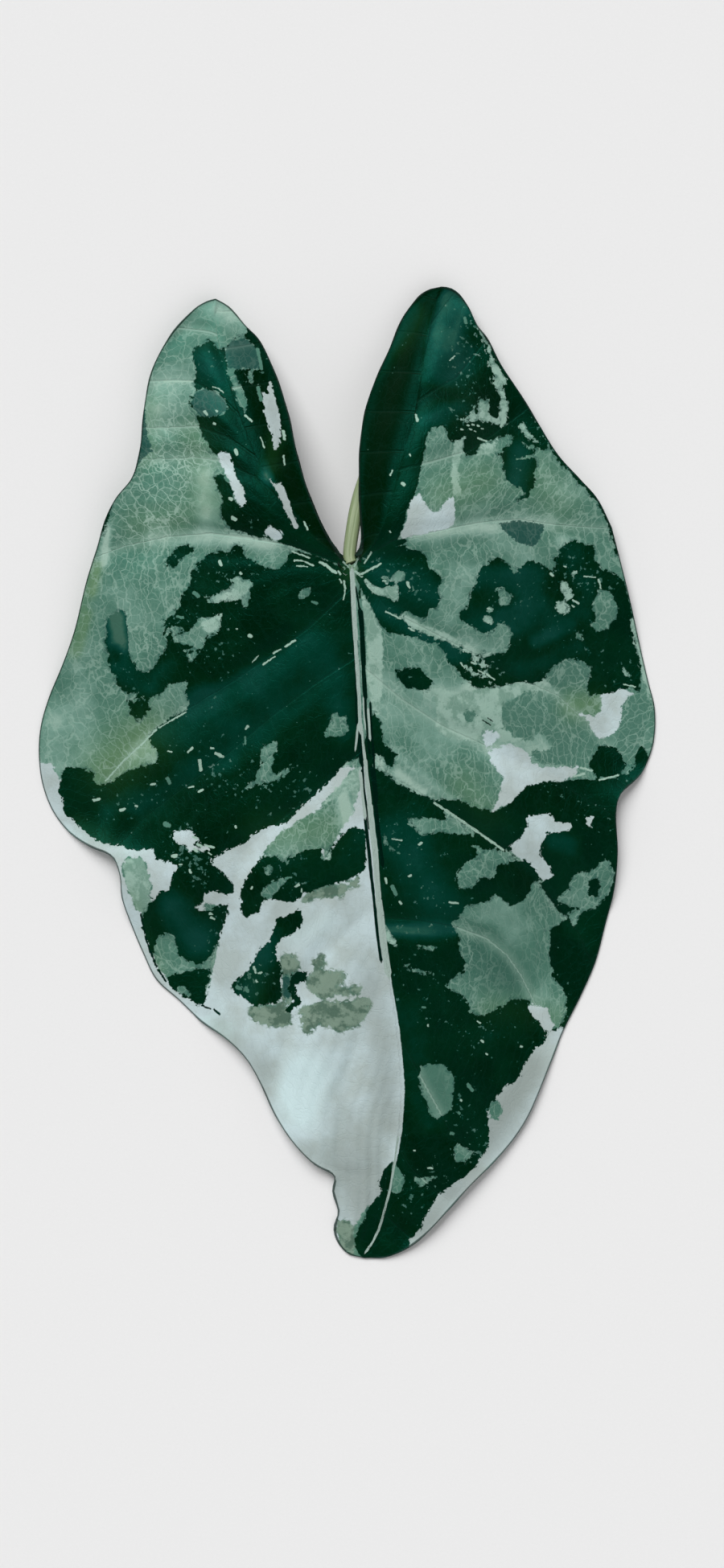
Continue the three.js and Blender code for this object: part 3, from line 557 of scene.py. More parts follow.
        (21.9, 93.8), (23.5, 94.8), (26.2, 94.8), (27.8, 93.2), (28.1, 91.5), (26.5, 90.2), (24.2, 90.5),
        (22.5, 91.9)]),
    ("shade", [(15, 90.9), (17.3, 92.5), (19.9, 91.5), (20.6, 89.5), (18.3, 88.6), (15.9, 89.2)]),
    ("shade", [(28.1, 86.6), (30.6, 87.7), (32.1, 86.6), (29.8, 85.1)]),
    ("pale", [   # the pale part in the middle of the right half
        (41, 40), (52, 38), (60, 39.5), (70, 41), (80, 42.5), (90, 43), (97, 40.5), (103, 37), (100, 36),
        (92, 38.5), (86, 38.5), (80, 36), (74, 34.5), (73.5, 28), (73, 23), (76, 20), (78, 17), (84, 16),
        (86, 13.5), (80, 15), (72, 14), (66, 14.5), (60, 15), (52, 16), (48, 17), (44, 19), (42, 22),
        (42, 30)]),
    ("shade", [   # and the darker one right of it
        (73.5, 33.5), (80, 34.5), (83, 39), (91, 39), (98, 34.5), (106, 31), (112, 27), (114.5, 23),
        (113, 16), (110, 10), (106, 5), (100, 3.5), (93, 4.5), (87, 8.5), (88, 12), (91, 11), (96, 11),
        (98, 13), (94, 18.5), (89, 19.5), (88.5, 14), (84, 16), (79, 17), (76, 20), (73, 23)]),
    ("shade", [
        (99, 51.5), (103, 54), (108, 54), (113, 53), (115.5, 51.5), (114, 44), (115, 37.5), (120, 37),
        (120.5, 31), (118, 30), (113, 33), (107, 38), (101, 40.5), (95, 43), (93, 45.5)]),
    ("shade", [(55, 29), (58, 30.5), (61, 28), (60, 24.5), (56, 24.5)]),
    ("shade", [
        (129, 36), (134, 38), (141, 30), (142, 20), (138, 10), (133, 9), (128, 14), (129.5, 20),
        (130, 30)]),
    ("white", [(63.5, 19.5), (70, 20), (72.5, 17.5), (70, 14), (66, 12.5), (64.5, 16)]),
    ("mint", [
        (28, -22), (31, -20.5), (46, -22), (47, -18.5), (41, -14), (57, -25), (70, -33), (75, -36),
        (66, -30), (58, -29), (45, -28), (35, -29.5), (30, -24)]),
    ("mint", [
        (59, -34), (66, -36), (74, -37), (82, -41), (70, -44), (72, -49), (62, -50), (60, -54), (57, -55),
        (52, -53), (52, -47), (56, -42), (63, -39)]),
    ("mint", [
        (89, -50), (93, -55), (97, -60), (101, -66), (105, -68), (100, -73), (96, -75), (97, -80),
        (96, -86), (98, -97), (101, -100), (104, -105), (105, -110), (104, -117), (100, -122), (97, -121),
        (94, -118), (86, -108), (78, -107), (75, -110), (66, -114), (62, -115), (58, -113), (58, -109),
        (55, -106), (46, -100), (52, -95.5), (56, -94), (56, -89), (53, -83), (53, -77), (49, -71),
        (53, -68), (56, -63), (66, -61), (70, -57), (78, -62.5), (84, -60), (86, -56)]),
    ("mint", [
        (35, -139), (37, -137.5), (45, -137.5), (49, -141), (51, -146), (50, -158), (48, -162), (43, -164),
        (39, -162), (38, -157), (35, -150), (34, -144)]),
    ("mint", [(51, -176), (57, -178), (61, -180), (56, -185), (51, -185)]),
    ("mint", [(31, -191), (36, -192.5), (43, -191.5), (42, -193.5), (37, -194), (37, -197.5), (34, -196)]),
    ("mint", [(21.5, -185), (25, -188), (27.4, -192), (26.5, -198), (24, -200), (21, -199)]),
    ("mint", [(26, -91), (30, -90.5), (35, -93), (41, -94.5), (41, -96), (34, -95)]),
    ("mint", [(32, -82.2), (41, -84), (44, -83.5), (41, -82), (36, -81.6)]),
    ("mint", [(17, -29), (17.5, -33), (20, -36.5), (26, -38.5), (20, -34.5), (18.5, -30)]),
    ("mint", [
        (107, -48), (113, -47), (119, -45), (121, -42), (124, -41), (127, -46), (127, -52), (124, -58),
        (119, -64), (113, -65.5), (103, -62), (100, -60), (105, -56)]),
    ("mint", [(103, -66), (108, -73), (112, -66)]),
    ("mint", [(67, -157), (72, -155), (74, -160), (72, -165), (68, -164)]),
    ("blotch", [(-5, -213), (-1, -212), (3, -216), (4, -224), (3, -229), (-3, -228), (-5, -220)]),
    ("dark", [
        (70, -46), (75, -44), (80, -42), (85, -45), (88, -49), (85, -51.5), (86, -58), (84, -60), (78, -63),
        (74, -58), (70, -57)]),
    ("dark", [(115, -51), (119, -50), (120.5, -54), (119, -59), (115, -58.5)]),
    ("dark", [(101, -62.5), (104, -65), (108, -64.8), (111, -63.5), (108, -66.2), (104, -66.4)]),

    # white parts over the dark and the mint ones, left half
    ("white", [
        (-40, 180), (-37, 179.5), (-36.5, 186), (-35, 182), (-33.5, 176), (-32, 170), (-31, 161),
        (-32, 152.5), (-34, 152), (-35, 159), (-38, 167), (-39.5, 173)]),
    ("white", [
        (-36, 138), (-33.5, 134.5), (-30.5, 136.5), (-28, 130), (-25, 122), (-22.5, 115), (-24.5, 114.5),
        (-28, 121), (-31, 128), (-34, 134)]),
    ("white", [
        (-61, 150.5), (-56, 151.5), (-54, 147), (-53, 142), (-50, 136), (-47.5, 131), (-46.5, 126.5),
        (-49, 125), (-52, 127), (-52.5, 131), (-54.5, 136), (-57, 141), (-59, 145)]),
    ("white", [(-39, 114), (-36, 116), (-33, 114.5), (-30, 113), (-30, 109.5), (-34, 109.5), (-38, 112)]),
    ("white", [
        (-82.5, -28), (-76.8, -26.6), (-73.8, -27.4), (-71, -29.5), (-70, -32), (-73, -33.5), (-70, -35),
        (-66, -34), (-63, -35.3), (-66, -37), (-71, -36.5), (-74.5, -37), (-76, -34.5), (-78.5, -33.5),
        (-81.5, -33.3)]),
    # and on the right half
    ("white", [
        (30, 128), (34, 131), (36, 128), (38, 125), (41, 121.5), (44, 123), (46, 127), (49, 130), (51, 129),
        (51, 124), (50, 116), (40, 113), (32, 111.5), (26, 109), (25, 111), (28, 118)]),
    ("pale", [
        (51, 156), (56, 158.8), (54.5, 152), (53.5, 146), (52.5, 140), (53.5, 134), (54.5, 129.5),
        (50, 130.5), (49, 137), (49.5, 148)]),
    ("pale", [
        (98.7, 80.3), (100.7, 82), (103, 81.6), (105, 80), (106, 78.3), (105.3, 76), (103, 75.7),
        (100.7, 76), (99, 77.7)]),
    ("pale", [
        (101, 90.9), (103, 91.5), (105, 90.9), (105, 88.2), (106.3, 86.6), (107.9, 84.9), (107.6, 82.9),
        (105, 82.6), (103.3, 83.6), (102, 85.6), (101, 87.9)]),
    ("pale", [(106.5, 95.8), (108.3, 96.5), (109.6, 95.1), (108.9, 93.2), (107.3, 93.2)]),
    ("dark", [
        (4.7, 98.1), (7, 107), (14.8, 108.5), (26.9, 109.8), (28.8, 108), (23.7, 106), (17.4, 103.2),
        (11, 98.7), (7.2, 95.3)]),
    ("dark", [   # right of the stalk's joint
        (3.6, 93.5), (6.9, 94.8), (9.6, 95.7), (13.9, 97.9), (18.3, 97.9), (20.1, 93.5), (15.7, 91.8),
        (19.2, 88.3), (22.7, 90), (26.2, 89.1), (26.2, 73.4), (19.2, 75.8), (13.9, 79.3), (10.4, 82.8),
        (7.8, 85.2), (5.6, 89.1)]),
    ("pale", [
        (7.6, 91.3), (9.1, 91.1), (10.9, 89.6), (13.5, 87.8), (16.6, 86.9), (19.2, 87.4), (21.8, 87.8),
        (23.6, 88.7), (24.5, 86.9), (24, 85.2), (24.9, 83.4), (24.5, 81.2), (23.6, 80.2), (21.8, 80.8),
        (20.1, 82.1), (17.4, 82.8), (14.4, 83.4), (11.7, 85.2), (10, 86.9), (8.5, 89.1)]),
    ("mint", [
        (20.5, 91.8), (22.3, 93.1), (24.5, 94), (26.2, 94.4), (27.5, 93.5), (27.5, 91.3), (26.2, 90.7),
        (24.5, 90), (22.7, 90), (21.4, 90.5)]),
    ("pale", [   # the light band beside the midrib
        (6.2, 86.5), (8, 84), (10.5, 79.5), (13.5, 74), (16, 69), (17, 60), (17, 45), (16.2, 35),
        (15.6, 28), (12.6, 28), (11.4, 33), (9.9, 38), (9.3, 50), (9.2, 60), (8.9, 68), (7.6, 77)]),
    ("pale", [   # a light rim on the right
        (134.6, 74), (137.5, 72), (142, 58), (145.5, 44), (147, 34), (143.5, 36), (141, 45), (138.5, 56),
        (136, 66)]),
    ("pale", [(17.5, -70), (20, -74), (23.8, -80), (23.5, -81.8), (21.5, -81), (19, -79.5), (17.5, -76)]),
    ("white", [
        (66, 11), (76, 13.5), (82, 12.5), (86, 9), (88, 5), (92, 3), (110, 3), (108, -1), (103, -3.5),
        (90, -4.5), (86, -6), (83, -9), (80, -10), (78, -14), (74, -15), (68, -18.5), (72, -12), (73, -6),
        (75, -3), (72, 0), (69, 4)]),
    ("white", [
        (121, 37), (127, 38.5), (131, 40.5), (136, 38), (133, 35), (131, 32), (130, 22), (127, 19),
        (122, 16.5), (118, 18), (115, 24), (110, 29), (118, 27), (121, 30)]),
    ("white", [
        (85, -20), (90, -20), (97, -19), (98, -23), (107, -24), (106, -27), (95, -28), (93, -33), (91, -38),
        (96, -44), (99, -49), (95, -51), (92, -50), (90, -46), (86, -42), (80, -39), (76, -35), (80, -32),
        (84, -28), (85.5, -25)]),
    ("white", [(113, -20), (117, -21), (116, -26), (113.5, -24)]),
    ("white", [
        (86.2, -110.1), (91.2, -110.5), (95.5, -112.2), (96.3, -116.4), (98.8, -119.8), (97.2, -122.3),
        (93.8, -122.6), (92.1, -118.9), (89.6, -117.2), (87.5, -113.9)]),
]

# Small streaks and specks: kind, from, to and half width
bladeStreaks = [
    # left lobe
    ("light", (-63.2, 182.3), (-60.5, 181.5), 0.35), ("light", (-60.5, 181.5), (-58.2, 179.5), 0.3),
    ("light", (-52.2, 151.8), (-51.6, 150), 0.75), ("light", (-40.4, 157.8), (-38.7, 152.8), 0.35),
    ("light", (-29.9, 161.2), (-29.3, 157.3), 0.75), ("light", (-29.7, 149.3), (-29.2, 145), 0.4),
    ("dull", (-42.2, 201), (-40.3, 191.5), 0.8), ("dull", (-41.8, 182), (-40.5, 176), 0.9),
    ("light", (-47.8, 168.3), (-44.4, 165.5), 0.5), ("light", (-67, 170.5), (-65.8, 169.2), 0.8),
    ("light", (-61.4, 170.8), (-61, 170.4), 0.5), ("light", (-62.4, 164.8), (-62.1, 164.4), 0.6),
    ("light", (-53.6, 119.8), (-52.2, 119.2), 0.9), ("light", (-19.9, 117.8), (-18.3, 114), 0.5),
    ("dull", (-57, 138.8), (-55.5, 137.2), 0.9), ("light", (-55, 129), (-54, 128.6), 0.8),
    ("light", (-86.5, 185.9), (-73, 185.4), 0.45),
    # left half, from the stalk outwards
    ("light", (-12.4, 98.9), (-9.8, 97.7), 0.8), ("light", (-9.8, 97.7), (-5.2, 94), 0.75),
    ("light", (-24.5, 99.8), (-20.5, 99.6), 0.5), ("light", (-20.5, 99.6), (-15.5, 97.3), 0.45),
    ("light", (-23.5, 97.3), (-18.5, 97), 0.35), ("light", (-25.5, 104), (-17.5, 101), 0.4),
    ("light", (-3.8, 94.6), (-2.9, 93.3), 0.5), ("light", (-3.2, 90.8), (-2.5, 89.3), 0.4),
    ("light", (-1.3, 90), (-0.6, 86.5), 0.5), ("light", (-0.6, 86.5), (-1.5, 81.5), 0.4),
    ("dull", (-16, 80.4), (-14, 79.6), 0.7), ("light", (1, 96.5), (-1.6, 99), 0.4),
    ("light", (3.5, 97), (5.5, 101), 0.5), ("light", (4, 94.5), (7, 92.5), 0.6),
    ("light", (3.2, 92), (3.6, 87), 0.5), ("light", (6.9, 93.4), (11.6, 95.8), 0.5),
    ("light", (11.6, 95.8), (16, 98.2), 0.5), ("light", (-114.8, -3.6), (-106.4, 5.6), 0.35),
    ("light", (-106.4, 5.6), (-97.9, 13.2), 0.4), ("light", (-97.9, 13.2), (-90.3, 20.8), 0.4),
    ("light", (-90.3, 20.8), (-76, 29), 0.35), ("light", (-39.2, 51.2), (-33.8, 54.9), 0.4),
    ("light", (-34.4, 56.4), (-31, 58.2), 0.45), ("light", (-28.8, 59.4), (-24.2, 62.4), 0.5),
    ("light", (-41.4, 55.2), (-44.4, 52.3), 0.3), ("light", (-59.8, 99.8), (-59.2, 98.2), 0.7),
    ("light", (-49.9, 94.2), (-49.5, 93.8), 0.6), ("dull", (-72, 85), (-70, 83.5), 1.0),
    ("dull", (-80, 74), (-77.5, 73.5), 0.8), ("light", (-51.8, 67.8), (-51.4, 67.8), 0.5),
    ("light", (-45.6, 64.7), (-45, 64.5), 0.9), ("light", (-47.6, 21), (-46.6, 22), 0.6),
    ("dull", (-48, 17), (-47.8, 14), 0.5), ("light", (-69.5, 6), (-69, 1.8), 0.9),
    ("light", (-62, 9.5), (-58.5, 7.8), 0.8), ("light", (-64, 12), (-63, 11.6), 0.6),
    ("light", (-75, 10), (-73, 12), 0.6), ("light", (-84.5, 10.5), (-82.8, 10), 0.5),
    ("dull", (-85, -2.5), (-83.9, -4.4), 1.0), ("light", (-107.5, -17.5), (-105.8, -16.9), 0.8),
    ("light", (-120.5, -12.8), (-118, -12.4), 0.7), ("light", (-92.8, -5.4), (-91, -5.2), 0.5),
    ("light", (-100.3, -15.6), (-99.8, -15.6), 0.5), ("light", (-74.8, -6.8), (-72.8, -6.2), 0.4),
    ("light", (-70, -8.6), (-68.2, -7.8), 0.5), ("dull", (-86.2, -24), (-84.2, -24.8), 1.2),
    ("light", (-52.5, -25), (-52.3, -25.6), 0.5), ("light", (-73, -30.2), (-70.6, -30.9), 0.5),
    ("light", (-70.5, -33.5), (-68.5, -34.7), 0.7), ("light", (-67, -34), (-62.8, -35.2), 0.5),
    ("light", (-82.2, -39.2), (-80.6, -38.8), 0.9), ("light", (-79.4, -43.2), (-78.2, -43.2), 0.4),
    ("light", (-74.2, -46), (-73.8, -47), 0.6), ("light", (-64.9, -66.5), (-63.9, -67.5), 0.7),
    ("light", (-64.5, -68.5), (-63, -69), 0.5), ("light", (-72.2, -35.8), (-70.8, -37), 0.6),
    ("light", (-65.3, -37.5), (-64, -38.5), 0.4), ("dark", (-98, -67), (-96.2, -76), 0.45),
    ("dark", (-95.8, -78), (-94, -84), 0.5), ("dark", (-93.4, -85), (-90.6, -92), 0.65),
    ("dark", (-90.4, -92.5), (-86.2, -99), 0.5), ("dark", (-69, -110.6), (-65, -112.2), 0.5),
    ("dark", (-63, -112.6), (-60.6, -114.8), 0.7), ("light", (-44, -92), (-43.2, -94.6), 0.6),
    ("light", (-42, -94.8), (-40.4, -94.4), 0.6), ("light", (-43, -98.4), (-42.8, -98.8), 0.6),
    ("dull", (-52, -101.8), (-50.8, -102.4), 1.0), ("dull", (-47.8, -102), (-47.2, -103.6), 0.9),
    ("light", (-23.9, -53.4), (-22.6, -52.6), 0.6), ("light", (-45.2, -54.6), (-44.6, -53.8), 0.4),
    ("light", (-21.3, -54.6), (-21.2, -56), 0.4), ("dull", (-28.6, -49.6), (-26, -49), 0.5),
    # right lobe
    ("light", (53.8, 162.0), (54.6, 161.9), 0.5), ("light", (56.8, 164.0), (57.6, 163.9), 0.45),
    ("light", (59.2, 164.5), (60.0, 164.4), 0.4), ("light", (61.7, 164.1), (62.5, 164.0), 0.5),
    ("light", (63.7, 162.8), (64.5, 162.7), 0.4), ("light", (58.0, 162.2), (58.8, 162.1), 0.35),
    ("light", (60.2, 161.4), (61.0, 161.3), 0.3), ("light", (41.5, -14.2), (57, -24.3), 0.6),
    ("light", (57, -24.3), (74, -36.3), 0.6), ("light", (48.7, 195.1), (51, 197.3), 0.4),
    ("dull", (55.9, 215.8), (56.6, 213.8), 0.8), ("light", (26, 135.6), (26.8, 135), 0.7),
    ("light", (21.3, 141.6), (20.5, 139.6), 0.4), ("light", (29.5, 149.4), (29.9, 149), 0.5),
    ("light", (20.3, 113.1), (20.6, 112.8), 0.5), ("light", (32.6, 168.4), (33.2, 165.6), 0.7),
    ("light", (62, 158.2), (66, 157), 0.5),
    # right half
    ("light", (18.5, 75.8), (25, 72.5), 0.4), ("light", (29.3, 68.1), (31.8, 66.8), 0.5),
    ("light", (53.8, 51.8), (55.2, 49.9), 0.4), ("light", (58.6, 52.2), (61, 51.6), 0.4),
    ("light", (62.2, 48.4), (65.4, 46.8), 0.4), ("light", (66, 46.8), (69.6, 44.2), 0.4),
    ("light", (28.5, 89.3), (29.5, 87), 0.6), ("light", (17.2, 90.2), (18.2, 90), 0.4),
    ("light", (8.5, 98.5), (11.5, 103.5), 0.4), ("light", (96.6, 94.6), (97.6, 93.6), 0.7),
    ("light", (103, 98.2), (104, 97.8), 0.4), ("light", (107.4, 82), (109.8, 80.6), 0.5),
    ("light", (106.8, 79.6), (107.6, 79), 0.4), ("light", (119.5, 92), (120.6, 88), 0.4),
    ("light", (112.5, 93.5), (118, 93), 0.3), ("light", (66.4, 77.6), (68, 77.2), 0.5),
    ("light", (131.8, 42.4), (137.2, 41.2), 0.4), ("light", (34.1, -33.6), (35.4, -32.8), 0.5),
    ("dull", (21.6, -53.6), (23.2, -57.2), 1.0), ("light", (25, -60.6), (25.8, -61.6), 0.5),
    ("light", (29.2, -48.6), (30.4, -48.2), 0.5), ("light", (18.2, -49.6), (18.8, -51.8), 0.5),
    ("light", (38.4, -119), (38.4, -119.7), 0.4), ("dull", (35.8, -110.8), (37.2, -110.8), 0.6),
    ("light", (21.5, -31), (26, -31.6), 0.35), ("light", (48.4, -61), (52.4, -61.4), 0.5),
    ("light", (62, -117.6), (63, -118.4), 0.6), ("light", (63.8, -126.8), (64.6, -127.4), 0.5),
    ("light", (66, -133), (66.6, -133.4), 0.4), ("light", (82.6, -130), (83.4, -130), 0.5),
    ("light", (38.6, -187.6), (40.4, -187.6), 0.5), ("dull", (57.4, -147.6), (59.6, -150.6), 0.9),
    ("light", (54, -155), (54.4, -155.3), 0.5), ("dull", (53, -161), (53.4, -161.4), 0.7),
    ("dull", (49.6, -171), (50.4, -171.2), 0.8), ("light", (31.8, -179), (32.4, -179.2), 0.4),
    ("dark", (64.3, 24.8), (68, 22.6), 0.35), ("dark", (66.5, 26), (69, 24.4), 0.25),
    ("light", (108, -1.6), (113, -0.2), 0.6), ("light", (111, 2.6), (116.4, 1.2), 0.5),
    ("light", (120, -3.2), (129, -1), 0.5),
]

# Soft changes of tone: from one point to another, how far they reach, and how strong they are
toneMarks = {
    "tealToneAndSheen": [   # dark tissue that is bluer and lighter: partly its own teal tone, mostly a painted sheen; strokes below zero paint shade
        ((-89, 20), (-69, 34), 6, 0.45), ((-69, 34), (-45, 43), 6, 0.5), ((-45, 43), (-18, 61), 6, 0.45),
        ((-80, 18), (-20, 45), 9, 0.25), ((-100, -14), (-60, 8), 6, 0.3), ((-60, 8), (-15, 40), 7, 0.3),
        ((-68, 196), (-60, 186), 7, 0.4), ((-54, 160), (-50, 164), 5, -0.25),
        ((-45, 144), (-42, 148), 5, -0.25), ((-46, 119), (-44, 124), 5, -0.25),
        ((44, 206), (51, 222), 10, 0.95), ((47, 214), (51, 224), 5, 0.35), ((38, 190), (44, 206), 6, 0.45),
        ((36, 186), (58, 200), 3, 0.4), ((35, 165), (57, 176), 5, 0.45), ((40, 180), (64, 177), 4, -0.2),
        ((28, 164), (40, 224), 3.5, -0.4), ((46, 186), (54, 194), 7, 0.5), ((12, 190), (30, 218), 7, 2.2),
        ((-36, 140), (-33, 158), 5, 1.2), ((40, -180), (50, -190), 10, -0.45),
        ((105, -90), (112, -100), 10, -0.4), ((32, -104), (38, -116), 8, -0.2),
        ((114, -34), (118, -38), 5, -0.2), ((22, 158), (27, 180), 6, -0.3), ((-64, 18), (-50, 24), 6, 0.25),
        ((-114, -17), (-104, -12), 5, 0.3), ((40, 62), (50, 56), 4, 0.5), ((60, 68), (112, 78), 8, 0.3),
        ((76, 71), (89, 81), 5, 0.6), ((89, 62), (105, 70), 3, 0.6), ((80, 90), (84, 90), 5, 0.45),
        ((85, 50), (110, 60), 6, 0.25), ((18, -74), (50, -74), 3.2, 0.75), ((22, -28), (42, -62), 14, 0.4),
        ((30, -105), (42, -172), 9, 0.2), ((-82, -64), (-70, -80), 9, 0.6),
        ((-38, -80), (-46, -102), 8, 0.45), ((-110, 74), (-108, 62), 6, 1.0),
        ((-108, 50), (-95, 42), 6, 0.45), ((-95, 46), (-84, 52), 5, 0.25),
        ((-110, 58), (-109, 56), 3, -0.3), ((98, -32), (106, -34), 5, 0.35), ((15, 96), (40, 84), 9, 0.45),
        ((14, 78), (55, 56), 5, 0.45), ((80, 134), (82, 152), 6, 0.5), ((60, 92), (88, 92), 7, 0.4),
        ((-30, -42), (0, -40), 6, 0.1), ((104, 105), (112, 92), 7, 0.2), ((-12, 60), (0, 20), 8, 0.3),
    ],
    "mintTone": [   # mint tissue on its way to white, or darker
        ((22, 36), (56, 36), 6, 0.35), ((-86, 188), (-90, 175), 9, 0.3), ((108, 122), (114, 118), 7, -0.25),
        ((58, 8), (64, 4), 6, -0.35), ((58, 39), (95, 42), 4, 0.6), ((42, 30), (58, 10), 9, 0.3),
        # the first stroke on this line and ((30, 112), (96, 119)) on the next brighten bands along the
        # first side veins: partly their own pale line, partly painted light on the slope below them
        ((-92, 112), (-36, 109), 4, 0.55), ((-62, 222), (-48, 214), 6, 0.4),
        ((-66, 122), (-67, 140), 6, 0.4), ((-101, 8), (-84, 22), 3, 0.4), ((30, 112), (96, 119), 3.5, 0.45),
        ((101, 111), (108, 108), 3, 0.35), ((60, -85), (76, -97), 10, -0.35),
        ((-126, 60), (-126, 22), 10, 0.17), ((97, -112), (93, -104), 5, 0.1), ((56, 62), (70, 54), 4, 0.3),
        ((10, 90), (24, 86), 5, 0.5), ((-60, 72), (-52, 86), 7, 0.5), ((22, 10), (60, -22), 3, 0.35),
        ((-6, 2), (3, -28), 4, 0.8), ((88, 16), (70, 8), 6, 0.4), ((62, 205), (74, 184), 5, 0.6),
        ((-97, 12), (-88, 6), 5, 0.3), ((60, 170), (75, 170), 7, 0.4), ((90, 12), (97, 6), 5, 0.5),
        ((76, 108), (84, 104), 6, 0.2), ((-114, 116), (-115, 100), 2, 0.7),
        # painted shade: the first stroke on this line darkens the strip just above the first left side vein
        ((-102, 118), (-82, 118), 10, -0.12), ((-140, 22), (-136, 4), 8, 0.25),
        ((18, 38), (38, 14), 9, 0.2), ((24, 0), (36, -9), 2.5, 0.6), ((14.5, 12), (16, 4), 2.5, 0.6),
        ((72, -64), (80, -80), 8, 0.2), ((46, 82), (56, 92), 8, 0.2), ((96, 132), (104, 126), 8, 0.15),
    ],
    "oliveTone": [   # yellower tissue
        ((-96, 16), (-112, 2), 14, 0.8), ((108, 32), (118, 33), 7, 0.7), ((2, 99), (2, 94), 5, 1.0),
        ((-95, 150), (-93, 175), 7, 0.3), ((46, 130), (64, 138), 10, 0.35),
        ((-124, 98), (-130, 62), 5, 0.4), ((-66, 128), (-72, 160), 9, 0.35),
        ((-40, -28), (-10, -26), 10, 0.4), ((-128, -26), (-110, -37), 6, 0.5),
        ((-2, -218), (0, -226), 6, 0.25), ((55, -6), (66, -20), 9, 0.35), ((100, 128), (90, 140), 12, 0.25),
        ((-105, -62), (-92, -96), 6, 0.4), ((68, -112), (100, -116), 7, 0.3),
        ((-118.5, 98), (-121, 86), 2.5, 1.0), ((-124, 75), (-129, 58), 3, 0.8),
        ((-98, 118), (-80, 120), 9, 0.3), ((24, 202), (34, 216), 6, 0.3), ((-35, 144), (-34, 156), 4, 0.5),
        ((-44, -96), (-44, -104), 6, 0.3),
    ],
    "greyShadeAndHighlight": [   # white tissue that is greyer: mostly painted shade near the midrib, the tip and the edges, partly greyer tissue; strokes below zero paint a bright highlight
        ((12, -100), (20, -165), 8, 0.6), ((2, -185), (10, -215), 12, 0.8),
        ((0, -165), (4, -180), 10, 0.45), ((50, -200), (34, -220), 8, 0.8),
        ((88, -140), (60, -185), 10, 0.85), ((95, -122), (104, -105), 6, 0.3),
        ((-60, -120), (-40, -140), 8, 0.5), ((-40, -150), (-20, -180), 6, 0.4),
        ((-145, 0), (-120, -25), 8, 0.4), ((-37, 186), (-31, 152), 6, 0.6),
        ((-36, 138), (-22, 114), 6, 0.6), ((-20, -144), (-24, -158), 11, -1.7),
        ((-10, -70), (-25, -78), 6, -0.5), ((94, -28), (88, -24), 4, -0.3), ((0, -60), (6, -90), 6, 0.2),
    ],
    "netTone": [   # how clearly the net of small veins shows
        ((-140, 0), (140, 0), 400, 1.0), ((-66, 120), (-68, 136), 6, -1.0), ((70, 30), (40, 20), 8, -0.5),
        ((-92, 125), (-80, 140), 14, 2.8), ((-85, 165), (-88, 185), 12, 1.6),
        ((-95, 95), (-90, 60), 13, 1.5), ((75, -75), (80, -100), 14, -0.45),
        ((60, 105), (90, 125), 13, 1.2), ((-104, -42), (-102, -62), 7, -0.8),
        ((40, -140), (44, -160), 9, -0.7),
    ],
    "fleckTone": [   # where pale flecks are scattered through the dark tissue
        ((20, -30), (45, -65), 15, 0.4), ((55, 178), (62, 215), 9, 0.9), ((42, 160), (58, 172), 8, 0.6),
        ((-62, 2), (-20, -8), 15, 0.75), ((-92, -8), (-112, -20), 9, 0.6), ((-80, 92), (-48, 95), 10, 0.8),
        ((-60, 58), (-82, 72), 11, 0.9), ((-78, -32), (-70, -48), 9, 1.4), ((98, 98), (122, 90), 12, 1.0),
        ((102, 62), (128, 50), 9, 0.7), ((20, 96), (40, 84), 9, 0.7), ((54, 62), (70, 50), 8, 1.0),
        ((62, -125), (82, -114), 8, 0.6), ((50, -150), (64, -178), 9, 0.8),
        ((28, -205), (42, -190), 9, 0.8), ((-50, -102), (-38, -95), 8, 0.9),
        ((-60, -64), (-64, -90), 5, 0.9), ((-32, -48), (-24, -54), 7, 0.8),
        ((-60, 198), (-42, 186), 9, 0.6), ((88, 166), (110, 138), 7, 0.7), ((24, -85), (50, -120), 12, 0.5),
        ((-108, 52), (-96, 30), 7, 0.7), ((60, 90), (80, 80), 9, 0.5), ((-52, 130), (-34, 112), 8, 0.5),
        ((100, -10), (124, -26), 9, 0.5),
    ],
}


# Plane geometry on many points at once

def smoothCurve(points, steps):   # centripetal Catmull-Rom, cut in equal steps
    knots = np.array(points, float)
    knots = np.vstack([2 * knots[0] - knots[1], knots, 2 * knots[-1] - knots[-2]])
    cuts = 60   # in each stretch between two points, before the equal steps
    share = np.linspace(0, 1, cuts, endpoint=False)[:, None]
    pieces = []
    for before, start, end, after in zip(knots, knots[1:], knots[2:], knots[3:]):
        a, b, c = [math.sqrt(np.linalg.norm(q - p)) for p, q in
                   ((before, start), (start, end), (end, after))]
        leave = b * ((start - before) / a - (end - before) / (a + b) + (end - start) / b)
        arrive = b * ((end - start) / b - (after - start) / (b + c) + (after - end) / c)
        pieces.append((2 * share ** 3 - 3 * share ** 2 + 1) * start
                      + (share ** 3 - 2 * share ** 2 + share) * leave
                      + (3 * share ** 2 - 2 * share ** 3) * end
                      + (share ** 3 - share ** 2) * arrive)
    route = np.vstack(pieces + [knots[-2:-1]])
    run = np.append(0, np.cumsum(np.linalg.norm(np.diff(route, axis=0), axis=1)))
    stops = np.linspace(0, run[-1], steps + 1)
    return np.column_stack([np.interp(stops, run, route[:, axis]) for axis in range(3)])


